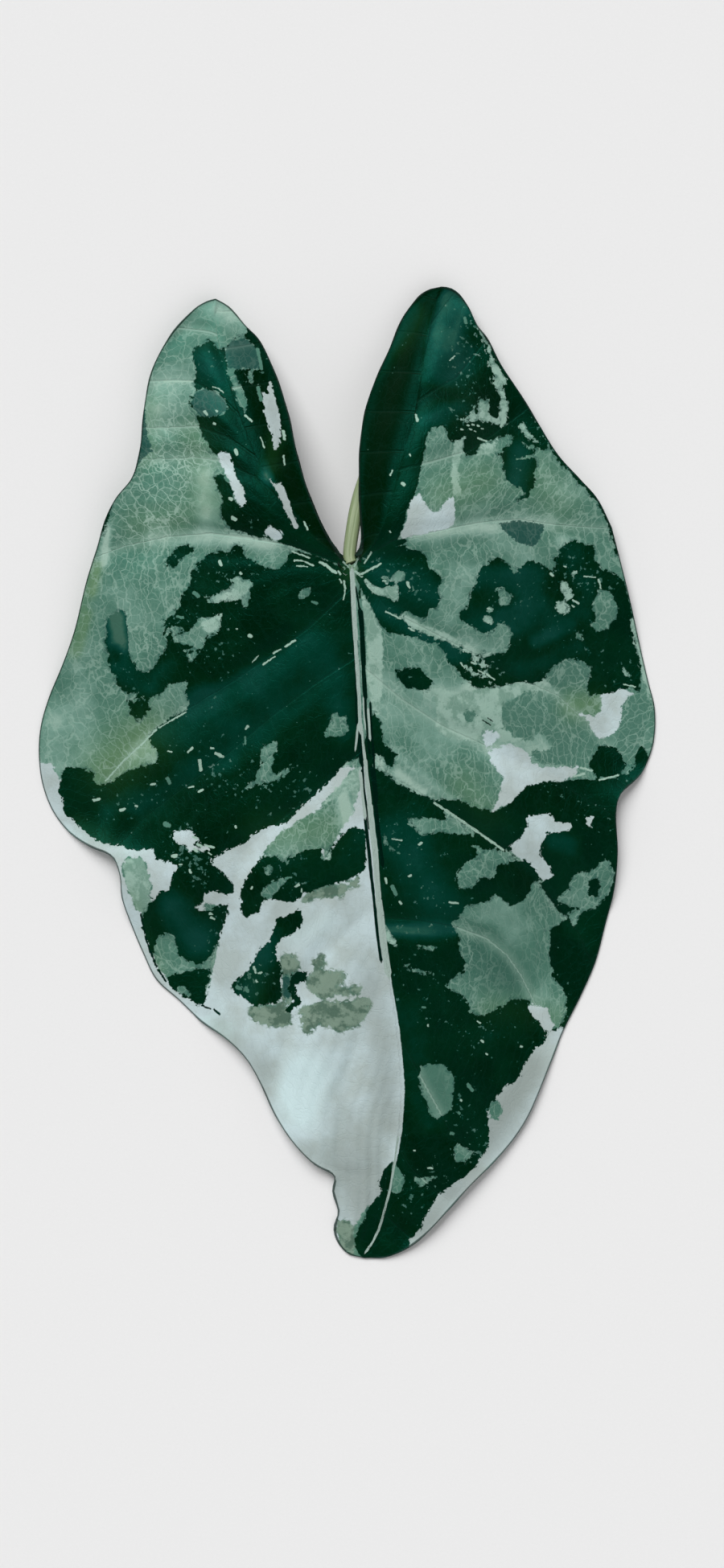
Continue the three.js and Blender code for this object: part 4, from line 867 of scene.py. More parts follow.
def followLine(x, y, line):   # distance to a line, positive on its left, and how far along it
    overrun = 200   # mm that the line goes on, straight, past both its ends
    points = np.array(line, float)[:, :2]
    nearest = np.full(x.shape, np.inf)
    side = np.ones(x.shape)
    along = np.zeros(x.shape)
    run = 0.0
    for number, (start, end) in enumerate(zip(points, points[1:])):
        way = end - start
        length = np.linalg.norm(way)
        way = way / length
        ahead = (x - start[0]) * way[0] + (y - start[1]) * way[1]
        low = -overrun if number == 0 else 0
        high = length + overrun if number == len(points) - 2 else length
        at = np.clip(ahead, low, high)
        gap = np.hypot(x - start[0] - at * way[0], y - start[1] - at * way[1])
        closer = gap < nearest
        turn = way[0] * (y - start[1]) - way[1] * (x - start[0])
        nearest = np.where(closer, gap, nearest)
        side = np.where(closer, np.sign(turn), side)
        along = np.where(closer, run + at, along)
        run += length
    return nearest * side, along


def insideDistance(x, y, outline, reach):   # distance to an outline, positive inside it
    points = np.array(outline, float)
    low = points.min(axis=0) - reach
    high = points.max(axis=0) + reach
    result = np.full(x.shape, -reach)
    near = np.flatnonzero((x > low[0]) & (x < high[0]) & (y > low[1]) & (y < high[1]))
    px = x[near]
    py = y[near]
    gap = np.full(px.shape, np.inf)
    inside = np.zeros(px.shape, bool)
    for start, end in zip(points, np.roll(points, -1, axis=0)):
        way = end - start
        at = np.clip(((px - start[0]) * way[0] + (py - start[1]) * way[1]) / (way @ way), 0, 1)
        gap = np.minimum(gap, np.hypot(px - start[0] - at * way[0], py - start[1] - at * way[1]))
        if start[1] != end[1]:
            crosses = (start[1] > py) != (end[1] > py)
            inside ^= crosses & (px < start[0] + (py - start[1]) * way[0] / way[1])
    result[near] = np.clip(np.where(inside, gap, -gap), -reach, reach)
    return result


def softTone(x, y, marks):   # strokes add up where they are faint, and average where they overlap
    total = np.zeros(x.shape)
    cover = np.zeros(x.shape)
    for start, end, reach, strength in marks:
        way = np.array(end, float) - np.array(start, float)
        at = np.clip(((x - start[0]) * way[0] + (y - start[1]) * way[1]) / (way @ way), 0, 1)
        gap = np.hypot(x - start[0] - at * way[0], y - start[1] - at * way[1])
        glow = np.exp(-(gap / reach) ** 2)
        total += strength * glow
        cover += glow
    return total / np.maximum(cover, 1)


# The blade

bladeShape = {
    "thickness": 0.7,
    "ribDepthAtStalk": 4.6,    # how far a rib stands out below the blade
    "ribDepthAtTip": 0.6,
    "ribHalfWidth": 3.0,
    "sideVeinDepth": 1.0,      # the side veins stand out below it as well
    "sideVeinHalfWidth": 1.6,
    "outerGap": 25,            # how wide the gaps past the last side veins count
    "flapVeins": 7,            # veins along each inner flap, between lobe and joint
    "flapVeinLean": 0.5,       # how far they lean, as a share of their gap
    "flapGap": 21,
    "crownShare": 0.03,        # the arch between rib and edge, as a share of that distance
    "furrowDepth": 2.9,        # the blade dips along its side veins
    "furrowOnFlap": 0.3,       # how much of that the inner flaps have
    "furrowHalfWidth": 7.0,
    "ribGroove": 1.1,          # and a little along its ribs
    "ribGrooveHalfWidth": 6.0,
    "rippleDepth": 0.2,        # small swellings between the side veins
    "ripplesPerGap": 5,
    "rippleBend": 1.6,
    "rippleBendLength": 11,
    "swellHeight": 0.5,        # broad swellings over the whole blade
    "swellLengths": (17, 23),
    "leastHeight": 0.3,        # of the underside above the ground, between its ribs
    "leastRibHeight": 0.05,    # and of the ribs
    "tissueReach": 8.0,        # how far from a patch's border the distance to it counts
    "marginReach": 30.0,
    "flapShade": (0.7, 0.3, 0.7),   # painted shade on the inner flaps: what they lose of their tone changes, of their tone and of their shine
    "midribSteps": 170,
    "lobeSteps": 60,
    "edgeSteps": 80,
    "depthSteps": 100,
    "rows": 84,                # from rib to edge
    "rowEase": 0.35,           # how much closer the rows lie at rib and edge
}


def crossLines():   # from every rib point to its edge point, once round the blade
    midribPoints = smoothCurve(midrib, bladeShape["midribSteps"])
    leftRibPoints = smoothCurve(leftRib, bladeShape["lobeSteps"])
    rightRibPoints = smoothCurve(rightRib, bladeShape["lobeSteps"])
    bridgePoints = np.repeat(midribPoints[:1], 3, axis=0)
    stretches = [
        ("leftFlap", leftRibPoints, True, leftInnerEdge),
        ("left", leftRibPoints, False, leftOuterEdge),
        ("left", midribPoints, True, leftSideEdge),
        ("right", midribPoints, False, rightSideEdge),
        ("right", rightRibPoints, True, rightOuterEdge),
        ("rightFlap", rightRibPoints, False, rightInnerEdge),
        ("bridge", bridgePoints, True, [rightSinus, leftSinus]),
    ]
    ribs = []
    edges = []
    shares = []
    zones = []
    for zone, ribPoints, outwards, edge in stretches:
        steps = len(ribPoints) - 1
        order = np.arange(steps) if outwards else steps - np.arange(steps)
        ribs.append(ribPoints[order])
        edges.append(smoothCurve(edge, steps)[:steps])
        shares.append(order / steps)
        zones += [zone] * steps
    lines = {
        "rib": np.vstack(ribs), "edge": np.vstack(edges),
        "ribShare": np.concatenate(shares), "zone": np.array(zones),
    }
    return {name: np.concatenate([values, values[:1]]) for name, values in lines.items()}


def veinMap(x, y, veins, towardsTip):   # which gap between side veins a point is in, and where
    number = len(veins)
    outerGap = bladeShape["outerGap"]
    followed = [followLine(x, y, vein) for vein in veins]
    gaps = np.array([gap * towardsTip for gap, along in followed])
    runs = np.array([along for gap, along in followed])
    passed = np.sum(np.cumprod(gaps > 0, axis=0), axis=0)
    last = np.clip(passed - 1, 0, number - 1)
    following = np.clip(passed, 0, number - 1)
    points = np.arange(x.size)
    behind = np.abs(gaps[last, points])
    ahead = np.abs(gaps[following, points])
    share = behind / np.maximum(behind + ahead, 0.01)
    phase = np.where(passed == number, number - 1 + behind / outerGap, passed - 1 + share)
    phase = np.where(passed == 0, -ahead / outerGap, phase)
    width = np.where((passed == 0) | (passed == number), outerGap, behind + ahead)
    run = runs[last, points] * (1 - share) + runs[following, points] * share
    run = np.where(passed == 0, runs[0], np.where(passed == number, runs[-1], run))
    return phase, width, run


def bladeFields(lines, line, share):   # place, tissue and vein values of every point of the blade
    shape = bladeShape
    rib = lines["rib"][line]
    edge = lines["edge"][line]
    zone = lines["zone"][line]
    ribShare = lines["ribShare"][line]
    x = rib[:, 0] + (edge[:, 0] - rib[:, 0]) * share
    y = rib[:, 1] + (edge[:, 1] - rib[:, 1]) * share
    span = np.hypot(edge[:, 0] - rib[:, 0], edge[:, 1] - rib[:, 1])
    fromRib = share * span
    left = np.isin(zone, ["left", "leftFlap"])
    leftMap = veinMap(x, y, leftVeins, 1)
    rightMap = veinMap(x, y, rightVeins, -1)
    phase, width, run = [np.where(left, a, b) for a, b in zip(leftMap, rightMap)]
    flap = np.isin(zone, ["leftFlap", "rightFlap"])
    flapPhase = ribShare * shape["flapVeins"] + shape["flapVeinLean"] * share
    phase = np.where(flap, flapPhase, phase)
    width = np.where(flap, shape["flapGap"], width)
    run = np.where(flap, fromRib, run)
    veinGap = np.abs(phase - np.round(phase)) * width
    ribSide = followLine(x, y, smoothCurve(midrib, shape["lobeSteps"]))[0]
    steps = shape["edgeSteps"]
    outline = np.vstack([smoothCurve(stretch, steps)[:steps] for stretch in (
        leftInnerEdge, leftOuterEdge, leftSideEdge, rightSideEdge, rightOuterEdge, rightInnerEdge)])
    edgeGap = np.maximum(insideDistance(x, y, outline[:, :2], shape["marginReach"]), 0)
    edgeGap = np.where(share > 0.9999, 0, edgeGap)   # the outermost row is the edge itself

    tissue = {kind: np.full(x.shape, -shape["tissueReach"]) for kind in (
        "dark", "dusk", "shade", "pale", "white", "blotch")}
    for kind, mark in bladeMarks:   # a later part covers the ones below it
        depth = insideDistance(x, y, mark, shape["tissueReach"])
        for other in tissue:
            if other == kind:
                tissue[other] = np.maximum(tissue[other], depth)
            else:
                tissue[other] = np.minimum(tissue[other], -depth)

    belly = np.sin(np.pi * share)
    fall = (1 - np.cos(np.pi * share)) / 2
    furrow = shape["furrowDepth"] * np.exp(-(veinGap / shape["furrowHalfWidth"]) ** 1.4)
    furrow *= np.where(flap, shape["furrowOnFlap"], 1.0)
    bend = shape["rippleBend"] * np.sin(run / shape["rippleBendLength"])
    ripple = shape["rippleDepth"] * np.cos(2 * np.pi * shape["ripplesPerGap"] * phase + bend)
    swellX, swellY = shape["swellLengths"]
    swell = shape["swellHeight"] * np.sin(x / swellX + 1.3) * np.sin(y / swellY + 0.4)
    height = rib[:, 2] + (edge[:, 2] - rib[:, 2]) * fall + shape["crownShare"] * span * belly ** 2
    height += (ripple + swell - furrow) * belly ** 0.7
    height -= shape["ribGroove"] * np.exp(-(fromRib / shape["ribGrooveHalfWidth"]) ** 2)
    ribDepth = shape["ribDepthAtStalk"]
    ribDepth = ribDepth + (shape["ribDepthAtTip"] - ribDepth) * ribShare
    below = shape["thickness"] + ribDepth * np.exp(-(fromRib / shape["ribHalfWidth"]) ** 2)
    vein = np.exp(-(veinGap / shape["sideVeinHalfWidth"]) ** 2)
    below += shape["sideVeinDepth"] * vein * belly ** 0.5 * (1 - share)
    height = np.maximum(height, shape["thickness"] + shape["leastHeight"])
    below = np.minimum(below, height - shape["leastRibHeight"])

    fields = {
        "veinPhase": phase, "veinWidth": width, "veinRun": run, "ribSide": ribSide,
        "edgeGap": edgeGap,
    }
    for kind, depth in tissue.items():
        fields[kind + "Field"] = depth
    for name, marks in toneMarks.items():
        fields[name] = softTone(x, y, marks)
    # painted shade: the inner flaps lean out of the light, so their dark tissue is darkened, loses most of
    # its painted sheen and shines less, fully so from a quarter of the way out
    inFlap = np.where(flap, np.clip(share * 4, 0, 1), 0)
    calmer, darker, duller = shape["flapShade"]
    fields["tealToneAndSheen"] = fields["tealToneAndSheen"] * (1 - calmer * inFlap) - darker * inFlap
    fields["shine"] = 1 - duller * inFlap
    return np.column_stack([x, y, height]), below, fields


def placeStreaks(mesh):   # each face knows its place beside the streak that is nearest to it
    centre = np.empty(len(mesh.polygons) * 3)
    mesh.polygons.foreach_get("center", centre)
    centre = centre.reshape(-1, 3) / mm
    nearest = np.full(len(centre), np.inf)
    chosen = np.zeros(len(centre), int)
    form = []
    for number, (kind, start, end, halfWidth) in enumerate(bladeStreaks):
        way = np.array(end, float) - np.array(start, float)
        length = np.linalg.norm(way)
        way = way / length
        middle = (np.array(start, float) + np.array(end, float)) / 2
        form.append((*middle, *way, length / 2, halfWidth, kind == "dull", kind == "dark"))
        ahead = (centre[:, 0] - middle[0]) * way[0] + (centre[:, 1] - middle[1]) * way[1]
        aside = (centre[:, 1] - middle[1]) * way[0] - (centre[:, 0] - middle[0]) * way[1]
        gap = np.hypot(np.maximum(np.abs(ahead) - length / 2, 0), aside) - halfWidth
        closer = gap < nearest
        nearest = np.where(closer, gap, nearest)
        chosen = np.where(closer, number, chosen)
    sides = np.empty(len(mesh.polygons), int)
    mesh.polygons.foreach_get("loop_total", sides)
    corners = np.empty(len(mesh.loops), int)
    mesh.loops.foreach_get("vertex_index", corners)
    spots = np.empty(len(mesh.vertices) * 3)
    mesh.vertices.foreach_get("co", spots)
    spots = spots.reshape(-1, 3)[corners] / mm
    own = np.array(form, float)[np.repeat(chosen, sides)]
    offX = spots[:, 0] - own[:, 0]
    offY = spots[:, 1] - own[:, 1]
    layers = {
        "streakPlace": np.column_stack([offX * own[:, 2] + offY * own[:, 3],
                                        offY * own[:, 2] - offX * own[:, 3], 0 * offX]),
        "streakForm": np.column_stack([own[:, 4], 0 * offX, 0 * offX]),
        "streakWidth": own[:, 5], "dullStreak": own[:, 6], "darkStreak": own[:, 7],
    }
    for name, values in layers.items():
        kind = "FLOAT_VECTOR" if values.ndim == 2 else "FLOAT"
        layer = mesh.attributes.new(name, kind, "CORNER")
        layer.data.foreach_set("vector" if values.ndim == 2 else "value",
                               values.astype(np.float32).ravel())


def makeBlade():
    lines = crossLines()
    lineCount = len(lines["zone"]) - 1
    rows = bladeShape["rows"]
    bpy.ops.mesh.primitive_grid_add(x_subdivisions=rows, y_subdivisions=lineCount, size=2)
    blade = bpy.context.object
    blade.name = "variegated_blade"
    mesh = blade.data
    flat = np.empty(len(mesh.vertices) * 3)
    mesh.vertices.foreach_get("co", flat)
    flat = flat.reshape(-1, 3)
    row = (flat[:, 0] + 1) / 2
    line = np.rint((flat[:, 1] + 1) / 2 * lineCount).astype(int)
    share = row - bladeShape["rowEase"] * np.sin(2 * np.pi * row) / (2 * np.pi)
    places, below, fields = bladeFields(lines, line, share)
    mesh.vertices.foreach_set("co", (places * mm).ravel())
    for name, values in fields.items():
        layer = mesh.attributes.new(name, "FLOAT", "POINT")
        layer.data.foreach_set("value", values.astype(np.float32))
    most = below.max()
    steps = bladeShape["depthSteps"]
    depth = blade.vertex_groups.new(name="depth")
    for step in range(steps + 1):   # depths as shares of the largest one
        members = np.flatnonzero(np.rint(below / most * steps).astype(int) == step)
        depth.add(members.tolist(), step / steps, "REPLACE")
    bpy.ops.object.mode_set(mode="EDIT")
    bpy.ops.mesh.select_all(action="SELECT")
    bpy.ops.mesh.remove_doubles(threshold=mergeDistance)
    bpy.ops.object.mode_set(mode="OBJECT")

    body = blade.modifiers.new("body", "SOLIDIFY")   # gives the blade its thickness, ribs below
    body.thickness = most * mm
    body.offset = -1
    body.vertex_group = "depth"
    body.material_offset = 1
    bpy.ops.object.modifier_apply(modifier="body")
    count = len(mesh.vertices)
    settled = np.empty(count * 3)
    mesh.vertices.foreach_get("co", settled)
    settled = settled.reshape(-1, 3)
    settled[:, 2] = np.maximum(settled[:, 2], groundGap * mm)
    mesh.vertices.foreach_set("co", settled.ravel())
    placeStreaks(mesh)
    mesh.update()
    bpy.ops.object.shade_smooth_by_angle(angle=smoothAngle)
    return blade


# Blade materials: living leaf tissue, one for each side

bladeLook = {
    # the lighter stops of the dark tissue are the colours of its painted sheen
    "darkStops": [(0.0, "#001803"), (0.2, "#01220b"), (0.45, "#023224"), (0.7, "#0e4037"),
                  (0.85, "#215144"), (1.0, "#3d6354")],
    "mintStops": [(0.0, "#375f52"), (0.5, "#4f7969"), (0.75, "#73988a"), (1.0, "#9dbaac")],
    "dusk": "#264f47",
    "shade": "#4b7465",
    "pale": "#96b5a7",
    "paleDull": "#77998a",
    "blotch": "#566f60",
    "blotchPale": "#7e9484",
    "netLine": "#a4c1b2",
    "olive": "#6c8a52",
    "oliveDark": "#1c3f1a",
    "white": "#b3c1bf",
    "whiteCool": "#c4d6d9",
    # whiteGrey is the grey of painted shade on the white tissue, and the next colour is its painted
    # highlight
    "whiteGrey": "#959f9b",
    "whitePaintedHighlight": "#cee4e6",
    "lightStreak": "#9dbbab",
    "dullStreak": "#527d6d",
    "darkStreak": "#01180b",
    "ribPale": "#a3b6ae",
    "ribDark": "#011309",
    "margin": "#1c2a24",
    "whiteVein": "#93aaa2",
    "darkVein": "#2f6a5c",
    "underside": "#8fa596",
    "sheenTint": "#30e8cc",
    "edgeWander": 1.7,     # mm that the border of a patch wanders either way
    "edgeJump": 0.75,      # mm that it jumps from one small cell to the next
    "jumpCell": 1.7,
    # mm from the joint, and from the midrib, where borders are calmest and where they are free
    "calmAtStalk": (8.0, 60.0),
    "calmAtRib": (1.5, 6.0),
    "netCell": 4.5,        # mm, cells of the net of small veins
    "netStray": 5.0,       # mm that it is pushed about
    "fineCell": 1.9,
    "rungsAcross": 2.4,    # cells of the ladder between two side veins
    "rungLength": 6.2,     # mm along the veins
    "veinReach": 130.0,    # mm over which a side vein grows thinner
    "veinHalo": 4.5,       # mm, lighter tissue beside it
    "fleckSize": 2.3,      # mm, flecks in the dark tissue
    "streakSoft": 0.15,    # mm, half the width of a stripe's soft rim
    "stripeTaper": 0.4,    # how bluntly the stripes on the midrib end
    "stripeWander": 1.1,   # mm
    "marginLine": (0.3, 0.75),   # mm from the edge, where its dark line fades out
    "roughness": (0.36, 0.48),
    "veinRelief": 0.3,     # mm
    "sheen": 0.24,
    "refraction": 1.42,
}

# Stripes on the midrib: how far right of its middle and at which y each starts and ends,
# and its half width
midribStripes = [
    ("dark", (-1.3, 88), (-1.1, 59), 0.4), ("dark", (-1.15, 62), (-1.6, 40), 0.38),
    ("dark", (-1.9, 44), (-2.6, 22), 0.35), ("dark", (1.2, 88), (2.6, 76), 0.55),
    ("dark", (2.6, 79), (3.1, 64), 1.2), ("dark", (3.05, 69), (2.4, 48), 1.2),
    ("dark", (2.4, 53), (2.4, 33), 1.0), ("dark", (2.2, 36), (2.4, 8), 0.6),
    ("dark", (4.5, 34), (3.9, -14), 0.55), ("dark", (2.9, 4), (2.9, -45), 0.9),
    ("dark", (-1.9, 2), (-2.4, -24), 0.5), ("dark", (-1.4, 25), (-1.5, 2), 1.2),
    ("dark", (-1.5, 8), (-1.4, -27), 0.4), ("dark", (-2.6, -20), (-2.8, -58), 0.8),
    ("dark", (-2.8, -52), (-2.9, -90), 0.75), ("pale", (0.1, 97), (-0.4, 60), 1.05),
    ("pale", (-0.4, 66), (-0.6, 30), 0.85), ("pale", (-0.6, 36), (-1.1, 18), 0.8),
    ("pale", (-0.4, 24), (0.0, 2), 0.6), ("pale", (0.0, 8), (0.3, -16), 0.95),
    ("pale", (0.2, -12), (0.2, -40), 1.35), ("pale", (0.2, -34), (-0.6, -62), 1.3),
    ("pale", (-0.6, -56), (-0.4, -98), 1.6), ("pale", (-1.6, 24), (-4.2, 10), 0.45),
    ("pale", (-2.7, 2), (-2.6, -22), 0.7), ("pale", (1.4, 36), (1.3, 20), 0.3),
    ("pale", (3.3, 31), (3.3, 15), 0.5), ("pale", (0.3, -172), (0.2, -229), 0.5),
]


def leafSkin(name, fading):   # fading: how far the colours go towards grey-green on this side
    look = bladeLook
    skin = bpy.data.materials.new(name)
    skin.use_nodes = True
    tree = skin.node_tree
    surface = tree.nodes["Principled BSDF"]
    field = {}
    for key in ("darkField", "duskField", "shadeField", "paleField", "whiteField", "blotchField",
                "veinPhase", "veinWidth", "veinRun", "ribSide", "edgeGap", "shine", *toneMarks):
        field[key] = addNode(tree, "ShaderNodeAttribute", attribute_name=key, out="Fac")
    place = addNode(tree, "ShaderNodeTexCoord", out="Object")
    place = addNode(tree, "ShaderNodeVectorMath", {0: place, 3: 1000.0}, operation="SCALE")
    placeY = addNode(tree, "ShaderNodeSeparateXYZ", {0: place}, out="Y")

    # small veins: a ladder across the gaps between side veins, and a net within it
    across = addNode(tree, "ShaderNodeMath", {
        0: field["veinPhase"], 1: look["rungsAcross"],
    }, operation="MULTIPLY")
    rung = addNode(tree, "ShaderNodeMath", {0: field["veinRun"], 1: look["rungLength"]},
                   operation="DIVIDE")
    beside = addNode(tree, "ShaderNodeMath", {0: field["ribSide"], 1: 0.0},
                     operation="GREATER_THAN")
    shift = addNode(tree, "ShaderNodeMath", {0: beside, 1: 31.0}, operation="MULTIPLY")
    ladderPlace = addNode(tree, "ShaderNodeCombineXYZ", {"X": across, "Y": rung, "Z": shift})
    wave = addNode(tree, "ShaderNodeTexNoise", {"Vector": place, "Scale": 0.12, "Detail": 3.0},
                   out="Color")
    wave = addNode(tree, "ShaderNodeVectorMath", {0: wave, 1: (0.5, 0.5, 0.5)},
                   operation="SUBTRACT")
    bend = addNode(tree, "ShaderNodeVectorMath", {0: wave, 3: 1.2}, operation="SCALE")
    ladderPlace = addNode(tree, "ShaderNodeVectorMath", {0: ladderPlace, 1: bend})
    ladder = addNode(tree, "ShaderNodeTexVoronoi", {
        "Vector": ladderPlace, "Scale": 1.0, "Randomness": 0.8,
    }, feature="DISTANCE_TO_EDGE")
    ladderLine = addNode(tree, "ShaderNodeMapRange", {
        "Value": ladder, "From Min": 0.01, "From Max": 0.05, "To Min": 1.0, "To Max": 0.0,
    }, interpolation_type="SMOOTHSTEP")
    stray = addNode(tree, "ShaderNodeVectorMath", {0: wave, 3: look["netStray"]},
                    operation="SCALE")
    netPlace = addNode(tree, "ShaderNodeVectorMath", {0: place, 1: stray})
    nets = []
    for size, near, far in ((look["netCell"], 0.015, 0.06), (look["fineCell"], 0.02, 0.16)):
        net = addNode(tree, "ShaderNodeTexVoronoi", {"Vector": netPlace, "Scale": 1 / size},
                      feature="DISTANCE_TO_EDGE")
        nets.append(addNode(tree, "ShaderNodeMapRange", {
            "Value": net, "From Min": near, "From Max": far, "To Min": 1.0, "To Max": 0.0,
        }, interpolation_type="SMOOTHSTEP"))
    netLine, fineLine = nets

    # the side veins themselves, thinner towards the edge
    fromVein = addNode(tree, "ShaderNodeMath", {0: field["veinPhase"], 1: 0.5}, operation="PINGPONG")
    fromVein = addNode(tree, "ShaderNodeMath", {0: fromVein, 1: field["veinWidth"]},
                       operation="MULTIPLY")
    veinReach = addNode(tree, "ShaderNodeMapRange", {
        "Value": field["veinRun"], "From Min": 0.0, "From Max": look["veinReach"],
        "To Min": 1.0, "To Max": 0.35,
    })
    veinShare = addNode(tree, "ShaderNodeMath", {0: fromVein, 1: veinReach}, operation="DIVIDE")
    veinLine = addNode(tree, "ShaderNodeMapRange", {
        "Value": veinShare, "From Min": 0.25, "From Max": 1.0, "To Min": 1.0, "To Max": 0.0,
    }, interpolation_type="SMOOTHSTEP")
    veinHalo = addNode(tree, "ShaderNodeMapRange", {
        "Value": fromVein, "From Min": 0.0, "From Max": look["veinHalo"],
        "To Min": 1.0, "To Max": 0.0,
    }, interpolation_type="SMOOTHSTEP")

    # borders of the patches: they wander a little and jump from small cell to small cell,
    # less so near the stalk, where the patches are drawn out along the veins
    wander = addNode(tree, "ShaderNodeTexNoise", {
        "Vector": place, "Scale": 0.3, "Detail": 5.0, "Roughness": 0.7,
    })
    wander = addNode(tree, "ShaderNodeMath", {0: wander, 1: 0.5}, operation="SUBTRACT")
    jump = addNode(tree, "ShaderNodeTexVoronoi", {
        "Vector": netPlace, "Scale": 1 / look["jumpCell"],
    }, out="Color")
    jump = addNode(tree, "ShaderNodeMath", {0: jump, 1: 0.5}, operation="SUBTRACT")
    wide = addNode(tree, "ShaderNodeMath", {0: wander, 1: 2.0 * look["edgeWander"]},
                   operation="MULTIPLY")
    border = addNode(tree, "ShaderNodeMath", {0: jump, 1: 2.0 * look["edgeJump"], 2: wide},
                     operation="MULTIPLY_ADD")
    fromStalk = addNode(tree, "ShaderNodeVectorMath", {0: place, 1: junction},
                        operation="DISTANCE", out="Value")
    fromRib = addNode(tree, "ShaderNodeMath", {0: field["ribSide"]}, operation="ABSOLUTE")
    for gap, (near, far), least in ((fromStalk, look["calmAtStalk"], 0.2),
                                    (fromRib, look["calmAtRib"], 0.12)):
        calm = addNode(tree, "ShaderNodeMapRange", {
            "Value": gap, "From Min": near, "From Max": far, "To Min": least, "To Max": 1.0,
        })
        border = addNode(tree, "ShaderNodeMath", {0: border, 1: calm}, operation="MULTIPLY")
    share = {}
    for kind, way, blur in (("dark", 1.0, 0.14), ("dusk", 0.8, 0.25), ("shade", 1.2, 0.4),
                            ("pale", -1.0, 0.5), ("white", -1.0, 0.35), ("blotch", 1.6, 1.1)):
        depth = addNode(tree, "ShaderNodeMath", {0: border, 1: way, 2: field[kind + "Field"]},
                        operation="MULTIPLY_ADD")
        if kind == "dark":
            fringe = addNode(tree, "ShaderNodeMath", {0: wander, 1: 7.0, 2: depth},
                             operation="MULTIPLY_ADD")
            fringe = addNode(tree, "ShaderNodeMapRange", {
                "Value": fringe, "From Min": -1.0, "From Max": 0.1,
            }, interpolation_type="SMOOTHSTEP")
            fringe = addNode(tree, "ShaderNodeMath", {0: fringe, 1: 0.55}, operation="MULTIPLY")
        share[kind] = addNode(tree, "ShaderNodeMapRange", {
            "Value": depth, "From Min": -blur, "From Max": blur,
        }, interpolation_type="SMOOTHSTEP")

    # pale flecks in the dark tissue, in clusters, each with a dull ring
    scatter = addNode(tree, "ShaderNodeTexNoise", {
        "Vector": place, "Scale": 1 / look["fleckSize"], "Detail": 2.5, "Roughness": 0.55,
    })
    scatter = addNode(tree, "ShaderNodeMath", {0: field["fleckTone"], 1: 0.13, 2: scatter},
                      operation="MULTIPLY_ADD")
    fleck = addNode(tree, "ShaderNodeMapRange", {
        "Value": scatter, "From Min": 0.725, "From Max": 0.75,
    }, interpolation_type="SMOOTHSTEP")
    ring = addNode(tree, "ShaderNodeMapRange", {
        "Value": scatter, "From Min": 0.68, "From Max": 0.74,
    }, interpolation_type="SMOOTHSTEP")
    notFleck = addNode(tree, "ShaderNodeMath", {0: fleck, 1: -0.8, 2: 1.0},
                       operation="MULTIPLY_ADD")
    share["dark"] = addNode(tree, "ShaderNodeMath", {0: share["dark"], 1: notFleck},
                            operation="MULTIPLY")

    # mint tissue, in cells of slightly different tone between light lines
    cloud = addNode(tree, "ShaderNodeTexNoise", {
        "Vector": place, "Scale": 0.05, "Detail": 5.0, "Roughness": 0.6,
    })
    cell = addNode(tree, "ShaderNodeTexVoronoi", {
        "Vector": netPlace, "Scale": 1 / look["netCell"],
    }, out="Color")
    cell = addNode(tree, "ShaderNodeMath", {0: cell, 1: 0.1, 2: field["mintTone"]},
                   operation="MULTIPLY_ADD")
    mintShare = addNode(tree, "ShaderNodeMath", {0: cloud, 1: 0.9, 2: cell},
                        operation="MULTIPLY_ADD")
    mint = addNode(tree, "ShaderNodeValToRGB", {0: mintShare}, stops=look["mintStops"])
    mint = addNode(tree, "ShaderNodeMix", {
        0: share["shade"], 6: mint, 7: hexColour(look["shade"]),
    }, out=2, data_type="RGBA")
    dapple = addNode(tree, "ShaderNodeTexNoise", {
        "Vector": place, "Scale": 0.14, "Detail": 4.0, "Roughness": 0.65,
    })
    dapple = addNode(tree, "ShaderNodeMapRange", {
        "Value": dapple, "From Min": 0.42, "From Max": 0.56,
    }, interpolation_type="SMOOTHSTEP")
    pale = addNode(tree, "ShaderNodeMix", {
        0: dapple, 6: hexColour(look["paleDull"]), 7: hexColour(look["pale"]),
    }, out=2, data_type="RGBA")
    mint = addNode(tree, "ShaderNodeMix", {0: share["pale"], 6: mint, 7: pale}, out=2,
                   data_type="RGBA")
    oliveShare = addNode(tree, "ShaderNodeMath", {0: field["oliveTone"], 1: 0.6},
                         operation="MULTIPLY", use_clamp=True)
    mint = addNode(tree, "ShaderNodeMix", {0: oliveShare, 6: mint, 7: hexColour(look["olive"])},
                   out=2, data_type="RGBA")
    lineShare = addNode(tree, "ShaderNodeMath", {0: netLine, 1: 0.2}, operation="MULTIPLY")
    ladderShare = addNode(tree, "ShaderNodeMath", {0: ladderLine, 1: 0.34}, operation="MULTIPLY")
    lineShare = addNode(tree, "ShaderNodeMath", {0: lineShare, 1: ladderShare}, operation="MAXIMUM")
    fineShare = addNode(tree, "ShaderNodeMath", {0: fineLine, 1: 0.06, 2: lineShare},
                        operation="MULTIPLY_ADD")
    netShare = addNode(tree, "ShaderNodeMath", {0: fineShare, 1: field["netTone"]},
                       operation="MULTIPLY")
    haloShare = addNode(tree, "ShaderNodeMath", {0: veinHalo, 1: 0.2, 2: netShare},
                        operation="MULTIPLY_ADD")
    ownLine = addNode(tree, "ShaderNodeMath", {0: veinLine, 1: 0.55}, operation="MULTIPLY")
    ownLine = addNode(tree, "ShaderNodeMath", {0: haloShare, 1: ownLine}, operation="MAXIMUM")
    mint = addNode(tree, "ShaderNodeMix", {0: ownLine, 6: mint, 7: hexColour(look["netLine"])},
                   out=2, data_type="RGBA")
    mint = addNode(tree, "ShaderNodeMix", {0: fringe, 6: mint, 7: hexColour(look["dusk"])}, out=2,
                   data_type="RGBA")

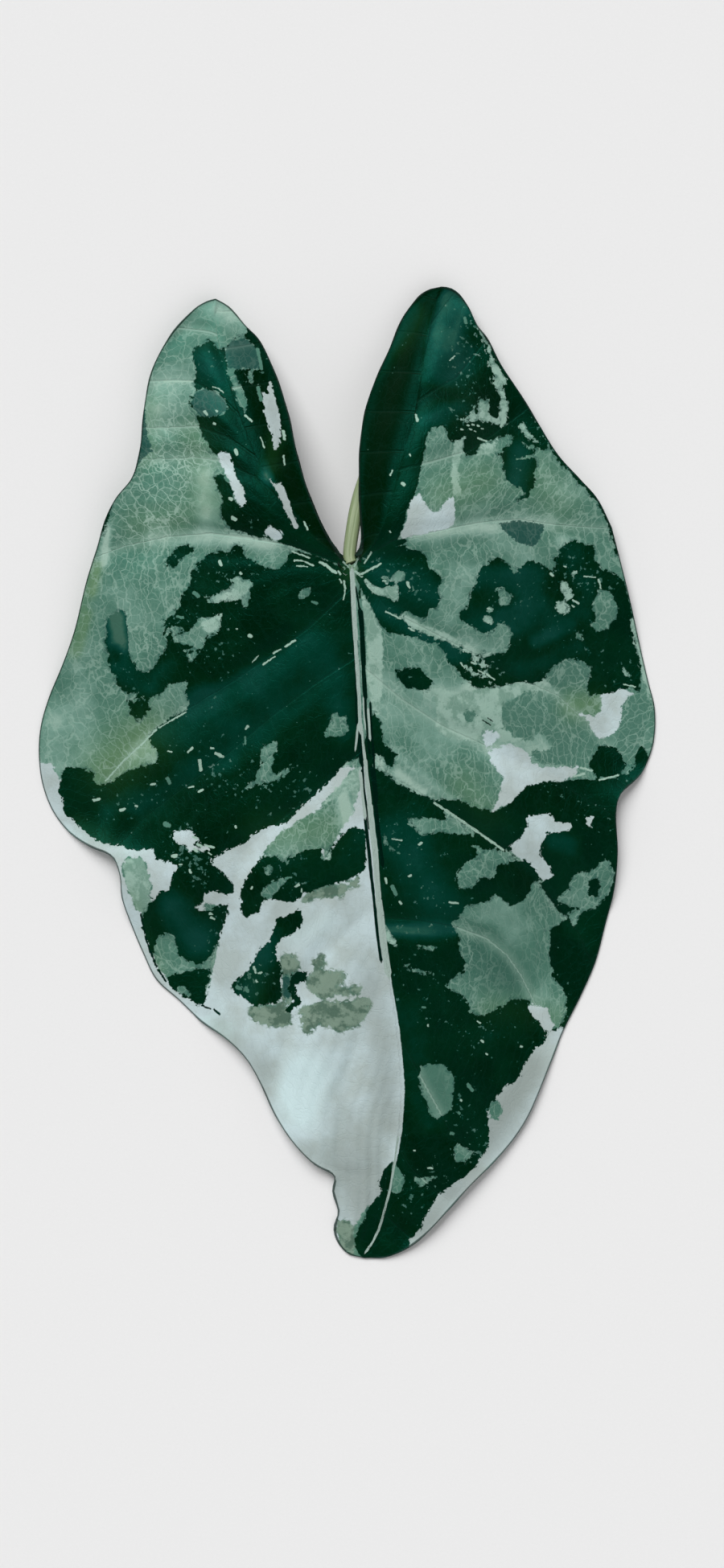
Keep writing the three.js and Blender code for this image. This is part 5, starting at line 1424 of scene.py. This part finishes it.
    # white tissue: cooler by turns, greyer under painted shade and brighter under a painted highlight, with
    # faint veins
    cloudShare = addNode(tree, "ShaderNodeMapRange", {
        "Value": cloud, "From Min": 0.4, "From Max": 0.62,
    })
    white = addNode(tree, "ShaderNodeMix", {
        0: cloudShare, 6: hexColour(look["white"]), 7: hexColour(look["whiteCool"]),
    }, out=2, data_type="RGBA")
    # painted shade greys the white where the strokes are above zero; a painted highlight brightens it where
    # they are below
    white = addNode(tree, "ShaderNodeMix", {
        0: field["greyShadeAndHighlight"], 6: white, 7: hexColour(look["whiteGrey"]),
    }, out=2, data_type="RGBA")
    glow = addNode(tree, "ShaderNodeMath", {0: field["greyShadeAndHighlight"], 1: -1.0}, operation="MULTIPLY",
                   use_clamp=True)
    white = addNode(tree, "ShaderNodeMix", {0: glow, 6: white, 7: hexColour(look["whitePaintedHighlight"])},
                    out=2, data_type="RGBA")
    whiteLine = addNode(tree, "ShaderNodeMath", {0: netShare, 1: 0.12}, operation="MULTIPLY")
    white = addNode(tree, "ShaderNodeMix", {0: whiteLine, 6: white, 7: hexColour(look["whiteVein"])},
                    out=2, data_type="RGBA")

    # dark tissue: deep green, then teal, then slate; the teal and slate are partly the tissue's own tone
    # and partly a painted sheen
    tealAndSheenShare = addNode(tree, "ShaderNodeMath", {0: cloud, 1: 0.8, 2: -0.3},
                        operation="MULTIPLY_ADD")
    tealAndSheenShare = addNode(tree, "ShaderNodeMath", {0: tealAndSheenShare, 1: field["tealToneAndSheen"]},
                        operation="ADD")
    tealAndSheenShare = addNode(tree, "ShaderNodeMath", {0: ring, 1: 0.45, 2: tealAndSheenShare},
                        operation="MULTIPLY_ADD")
    dark = addNode(tree, "ShaderNodeValToRGB", {0: tealAndSheenShare}, stops=look["darkStops"])
    dark = addNode(tree, "ShaderNodeMix", {
        0: oliveShare, 6: dark, 7: hexColour(look["oliveDark"]),
    }, out=2, data_type="RGBA")
    faint = addNode(tree, "ShaderNodeMath", {0: ownLine, 1: 0.08}, operation="MULTIPLY")
    dark = addNode(tree, "ShaderNodeMix", {0: faint, 6: dark, 7: hexColour(look["darkVein"])},
                   out=2, data_type="RGBA")
    duskLine = addNode(tree, "ShaderNodeMath", {0: ownLine, 1: 0.25}, operation="MULTIPLY")
    dusk = addNode(tree, "ShaderNodeMix", {
        0: duskLine, 6: hexColour(look["dusk"]), 7: hexColour(look["netLine"]),
    }, out=2, data_type="RGBA")

    blotch = addNode(tree, "ShaderNodeMix", {
        0: dapple, 6: hexColour(look["blotch"]), 7: hexColour(look["blotchPale"]),
    }, out=2, data_type="RGBA")
    colour = mint
    for kind, paint in (("white", white), ("blotch", blotch), ("dusk", dusk), ("dark", dark)):
        colour = addNode(tree, "ShaderNodeMix", {0: share[kind], 6: colour, 7: paint}, out=2,
                         data_type="RGBA")

    # small streaks and specks, ragged like the patches
    if not fading:
        ragged = addNode(tree, "ShaderNodeTexNoise", {"Vector": place, "Scale": 0.7, "Detail": 3.0},
                         out="Color")
        ragged = addNode(tree, "ShaderNodeVectorMath", {0: ragged, 1: (0.5, 0.5, 0.5)},
                         operation="SUBTRACT")
        beside = addNode(tree, "ShaderNodeAttribute", attribute_name="streakPlace", out="Vector")
        beside = addNode(tree, "ShaderNodeVectorMath", {0: beside, 1: ragged})
        beside = addNode(tree, "ShaderNodeVectorMath", {0: beside}, operation="ABSOLUTE")
        form = addNode(tree, "ShaderNodeAttribute", attribute_name="streakForm", out="Vector")
        beyond = addNode(tree, "ShaderNodeVectorMath", {0: beside, 1: form}, operation="SUBTRACT")
        beyond = addNode(tree, "ShaderNodeVectorMath", {0: beyond, 1: (0.0, 0.0, 0.0)},
                         operation="MAXIMUM")
        beyond = addNode(tree, "ShaderNodeVectorMath", {0: beyond, 1: (1.0, 1.0, 0.0)},
                         operation="MULTIPLY")
        beyond = addNode(tree, "ShaderNodeVectorMath", {0: beyond}, operation="LENGTH",
                         out="Value")
        wide = addNode(tree, "ShaderNodeAttribute", attribute_name="streakWidth", out="Fac")
        swelling = addNode(tree, "ShaderNodeMapRange", {
            "Value": wander, "From Min": -0.15, "From Max": 0.15, "To Min": 0.55, "To Max": 1.15,
        })
        wide = addNode(tree, "ShaderNodeMath", {0: wide, 1: swelling}, operation="MULTIPLY")
        gap = addNode(tree, "ShaderNodeMath", {0: beyond, 1: wide}, operation="SUBTRACT")
        there = addNode(tree, "ShaderNodeMapRange", {
            "Value": gap, "From Min": -0.15, "From Max": 0.2, "To Min": 1.0, "To Max": 0.0,
        }, interpolation_type="SMOOTHSTEP")
        paint = hexColour(look["lightStreak"])
        for kind in ("dull", "dark"):
            chosen = addNode(tree, "ShaderNodeAttribute", attribute_name=kind + "Streak", out="Fac")
            paint = addNode(tree, "ShaderNodeMix", {
                0: chosen, 6: paint, 7: hexColour(look[kind + "Streak"]),
            }, out=2, data_type="RGBA")
        colour = addNode(tree, "ShaderNodeMix", {0: there, 6: colour, 7: paint}, out=2,
                         data_type="RGBA")

    # midrib stripes
    drift = addNode(tree, "ShaderNodeVectorMath", {0: place, 1: (1.0, 0.12, 1.0)},
                    operation="MULTIPLY")
    drift = addNode(tree, "ShaderNodeTexNoise", {"Vector": drift, "Scale": 0.55, "Detail": 3.0})
    drift = addNode(tree, "ShaderNodeMath", {0: drift, 1: 0.5}, operation="SUBTRACT")
    side = addNode(tree, "ShaderNodeMath", {
        0: drift, 1: look["stripeWander"], 2: field["ribSide"],
    }, operation="MULTIPLY_ADD")
    for kind, (sideStart, start), (sideEnd, end), halfWidth in midribStripes:
        middle = addNode(tree, "ShaderNodeMapRange", {
            "Value": placeY, "From Min": start, "From Max": end,
            "To Min": sideStart, "To Max": sideEnd,
        })
        off = addNode(tree, "ShaderNodeMath", {0: side, 1: middle}, operation="SUBTRACT")
        off = addNode(tree, "ShaderNodeMath", {0: off}, operation="ABSOLUTE")
        above = addNode(tree, "ShaderNodeMath", {0: start, 1: placeY}, operation="SUBTRACT")
        under = addNode(tree, "ShaderNodeMath", {0: placeY, 1: end}, operation="SUBTRACT")
        taper = addNode(tree, "ShaderNodeMath", {0: above, 1: under}, operation="MINIMUM")
        taper = addNode(tree, "ShaderNodeMath", {0: taper, 1: look["stripeTaper"]},
                        operation="MULTIPLY")
        reach = addNode(tree, "ShaderNodeMath", {0: taper, 1: halfWidth}, operation="MINIMUM")
        stripe = addNode(tree, "ShaderNodeMath", {0: reach, 1: off}, operation="SUBTRACT")
        stripe = addNode(tree, "ShaderNodeMapRange", {
            "Value": stripe, "From Min": -look["streakSoft"], "From Max": look["streakSoft"],
        }, interpolation_type="SMOOTHSTEP")
        tint = hexColour(look["ribPale" if kind == "pale" else "ribDark"])
        colour = addNode(tree, "ShaderNodeMix", {0: stripe, 6: colour, 7: tint}, out=2,
                         data_type="RGBA")

    # the thin dark line of the margin
    near, far = look["marginLine"]
    margin = addNode(tree, "ShaderNodeMapRange", {
        "Value": field["edgeGap"], "From Min": near, "From Max": far, "To Min": 0.85, "To Max": 0.0,
    }, interpolation_type="SMOOTHSTEP")
    colour = addNode(tree, "ShaderNodeMix", {0: margin, 6: colour, 7: hexColour(look["margin"])},
                     out=2, data_type="RGBA")
    if fading:
        colour = addNode(tree, "ShaderNodeMix", {
            0: fading, 6: colour, 7: hexColour(look["underside"]),
        }, out=2, data_type="RGBA")
    tree.links.new(colour, surface.inputs["Base Color"])

    # the skin's gloss, and the relief of its veins
    glossiest, dullest = look["roughness"]
    gloss = addNode(tree, "ShaderNodeTexNoise", {"Vector": place, "Scale": 0.9, "Detail": 3.0})
    gloss = addNode(tree, "ShaderNodeMapRange", {
        "Value": gloss, "From Min": 0.3, "From Max": 0.7, "To Min": glossiest, "To Max": dullest,
    })
    tree.links.new(gloss, surface.inputs["Roughness"])
    relief = addNode(tree, "ShaderNodeMath", {0: fineShare, 1: -1.0}, operation="MULTIPLY")
    plain = addNode(tree, "ShaderNodeMath", {0: share["white"], 1: -0.9, 2: 1.0},
                    operation="MULTIPLY_ADD")
    plain = addNode(tree, "ShaderNodeMath", {0: veinLine, 1: plain}, operation="MULTIPLY")
    relief = addNode(tree, "ShaderNodeMath", {0: plain, 1: -1.2, 2: relief},
                     operation="MULTIPLY_ADD")
    bump = addNode(tree, "ShaderNodeBump", {
        "Strength": 0.6, "Distance": look["veinRelief"] * mm, "Height": relief,
    })
    tree.links.new(bump, surface.inputs["Normal"])
    surface.inputs["IOR"].default_value = look["refraction"]
    shine = addNode(tree, "ShaderNodeMath", {0: field["shine"], 1: look["sheen"]},
                    operation="MULTIPLY")
    tree.links.new(shine, surface.inputs["Specular IOR Level"])
    surface.inputs["Specular Tint"].default_value = hexColour(look["sheenTint"])
    return skin


blade = makeBlade()
# living leaf, upper side: a waxy skin gives a soft sheen over deep and pale tissue
blade.data.materials.append(leafSkin("alocasia leaf upper skin", 0))
# living leaf, lower side: paler and duller, the same patches show through
blade.data.materials.append(leafSkin("alocasia leaf lower skin", 0.5))
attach(blade, "root")
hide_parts("leaf_blade")
blade.select_set(False)
print("stage: blade,", len(blade.data.polygons), "faces")


# The stalk

stalk = {
    "path": [
        (2.1, 98.4, 33.2), (1.4, 100.8, 32.4), (2.9, 115, 28.8), (6, 130, 24.6), (12, 147, 19.4),
        (18, 161, 14.6), (24, 176, 9.3), (30, 192, 3.6),
    ],
    "radius": 3.0,
    "endRadius": 4.1,          # at the cut end
    "channelDepth": 0.5,       # the groove along its upper side
    "channelSharpness": 8,     # higher is narrower
    "ridges": 13,
    "ridgeHeight": 0.05,
    "sides": 40,
    "steps": 110,
    "skin": "#74875f",
    "skinPale": "#93a27d",
    "streaks": (60.0, 7.0, 1.0),   # round the stalk and along it
    "streakRelief": 0.15,
    "roughness": 0.42,
    "refraction": 1.42,
    "sheen": 0.4,
}


def makeStalk():
    sides = stalk["sides"]
    steps = stalk["steps"]
    bpy.ops.mesh.primitive_grid_add(x_subdivisions=sides, y_subdivisions=steps, size=2)
    piece = bpy.context.object
    piece.name = "leaf_stalk"
    mesh = piece.data
    flat = np.empty(len(mesh.vertices) * 3)
    mesh.vertices.foreach_get("co", flat)
    flat = flat.reshape(-1, 3)
    turn = np.rint((flat[:, 0] + 1) / 2 * sides) % sides * 2 * np.pi / sides
    step = np.rint((flat[:, 1] + 1) / 2 * steps).astype(int)
    path = smoothCurve(stalk["path"], steps)
    ahead = np.gradient(path, axis=0)
    ahead /= np.linalg.norm(ahead, axis=1)[:, None]
    acrossWay = np.cross((0.0, 0.0, 1.0), ahead)
    acrossWay /= np.linalg.norm(acrossWay, axis=1)[:, None]
    upWay = np.cross(ahead, acrossWay)
    radius = stalk["radius"] + (stalk["endRadius"] - stalk["radius"]) * step / steps
    ridges = stalk["ridgeHeight"] * np.cos(stalk["ridges"] * turn)
    channel = np.maximum(np.sin(turn), 0) ** stalk["channelSharpness"]
    radius = radius - stalk["channelDepth"] * channel + ridges
    places = (path[step] + acrossWay[step] * (radius * np.cos(turn))[:, None]
              + upWay[step] * (radius * np.sin(turn))[:, None])
    places[:, 2] = np.maximum(places[:, 2], groundGap)
    mesh.vertices.foreach_set("co", (places * mm).ravel())
    bpy.ops.object.mode_set(mode="EDIT")
    bpy.ops.mesh.select_all(action="SELECT")
    bpy.ops.mesh.remove_doubles(threshold=mergeDistance)
    bpy.ops.mesh.select_all(action="DESELECT")
    bpy.ops.mesh.select_non_manifold()
    bpy.ops.mesh.fill_holes(sides=0)
    bpy.ops.mesh.select_all(action="SELECT")
    bpy.ops.mesh.normals_make_consistent(inside=False)
    bpy.ops.object.mode_set(mode="OBJECT")
    bpy.ops.object.shade_smooth_by_angle(angle=smoothAngle)
    return piece


def stalkSkin():   # fleshy leaf stalk: smooth olive skin with fine lengthwise lines
    skin = bpy.data.materials.new("alocasia stalk skin")
    skin.use_nodes = True
    tree = skin.node_tree
    surface = tree.nodes["Principled BSDF"]
    spot = addNode(tree, "ShaderNodeUVMap", uv_map="UVMap")
    stretched = addNode(tree, "ShaderNodeVectorMath", {0: spot, 1: stalk["streaks"]},
                        operation="MULTIPLY")
    streak = addNode(tree, "ShaderNodeTexNoise", {
        "Vector": stretched, "Scale": 1.0, "Detail": 4.0, "Roughness": 0.6,
    })
    share = addNode(tree, "ShaderNodeMapRange", {
        "Value": streak, "From Min": 0.35, "From Max": 0.65,
    })
    colour = addNode(tree, "ShaderNodeMix", {
        0: share, 6: hexColour(stalk["skin"]), 7: hexColour(stalk["skinPale"]),
    }, out=2, data_type="RGBA")
    tree.links.new(colour, surface.inputs["Base Color"])
    surface.inputs["Roughness"].default_value = stalk["roughness"]
    surface.inputs["IOR"].default_value = stalk["refraction"]
    surface.inputs["Specular IOR Level"].default_value = stalk["sheen"]
    bump = addNode(tree, "ShaderNodeBump", {
        "Strength": 0.3, "Distance": stalk["streakRelief"] * mm, "Height": streak,
    })
    tree.links.new(bump, surface.inputs["Normal"])
    return skin


leafStalk = makeStalk()
leafStalk.data.materials.append(stalkSkin())
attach(leafStalk, "root")
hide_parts("petiole")
leafStalk.select_set(False)
print("stage: stalk,", len(leafStalk.data.polygons), "faces")
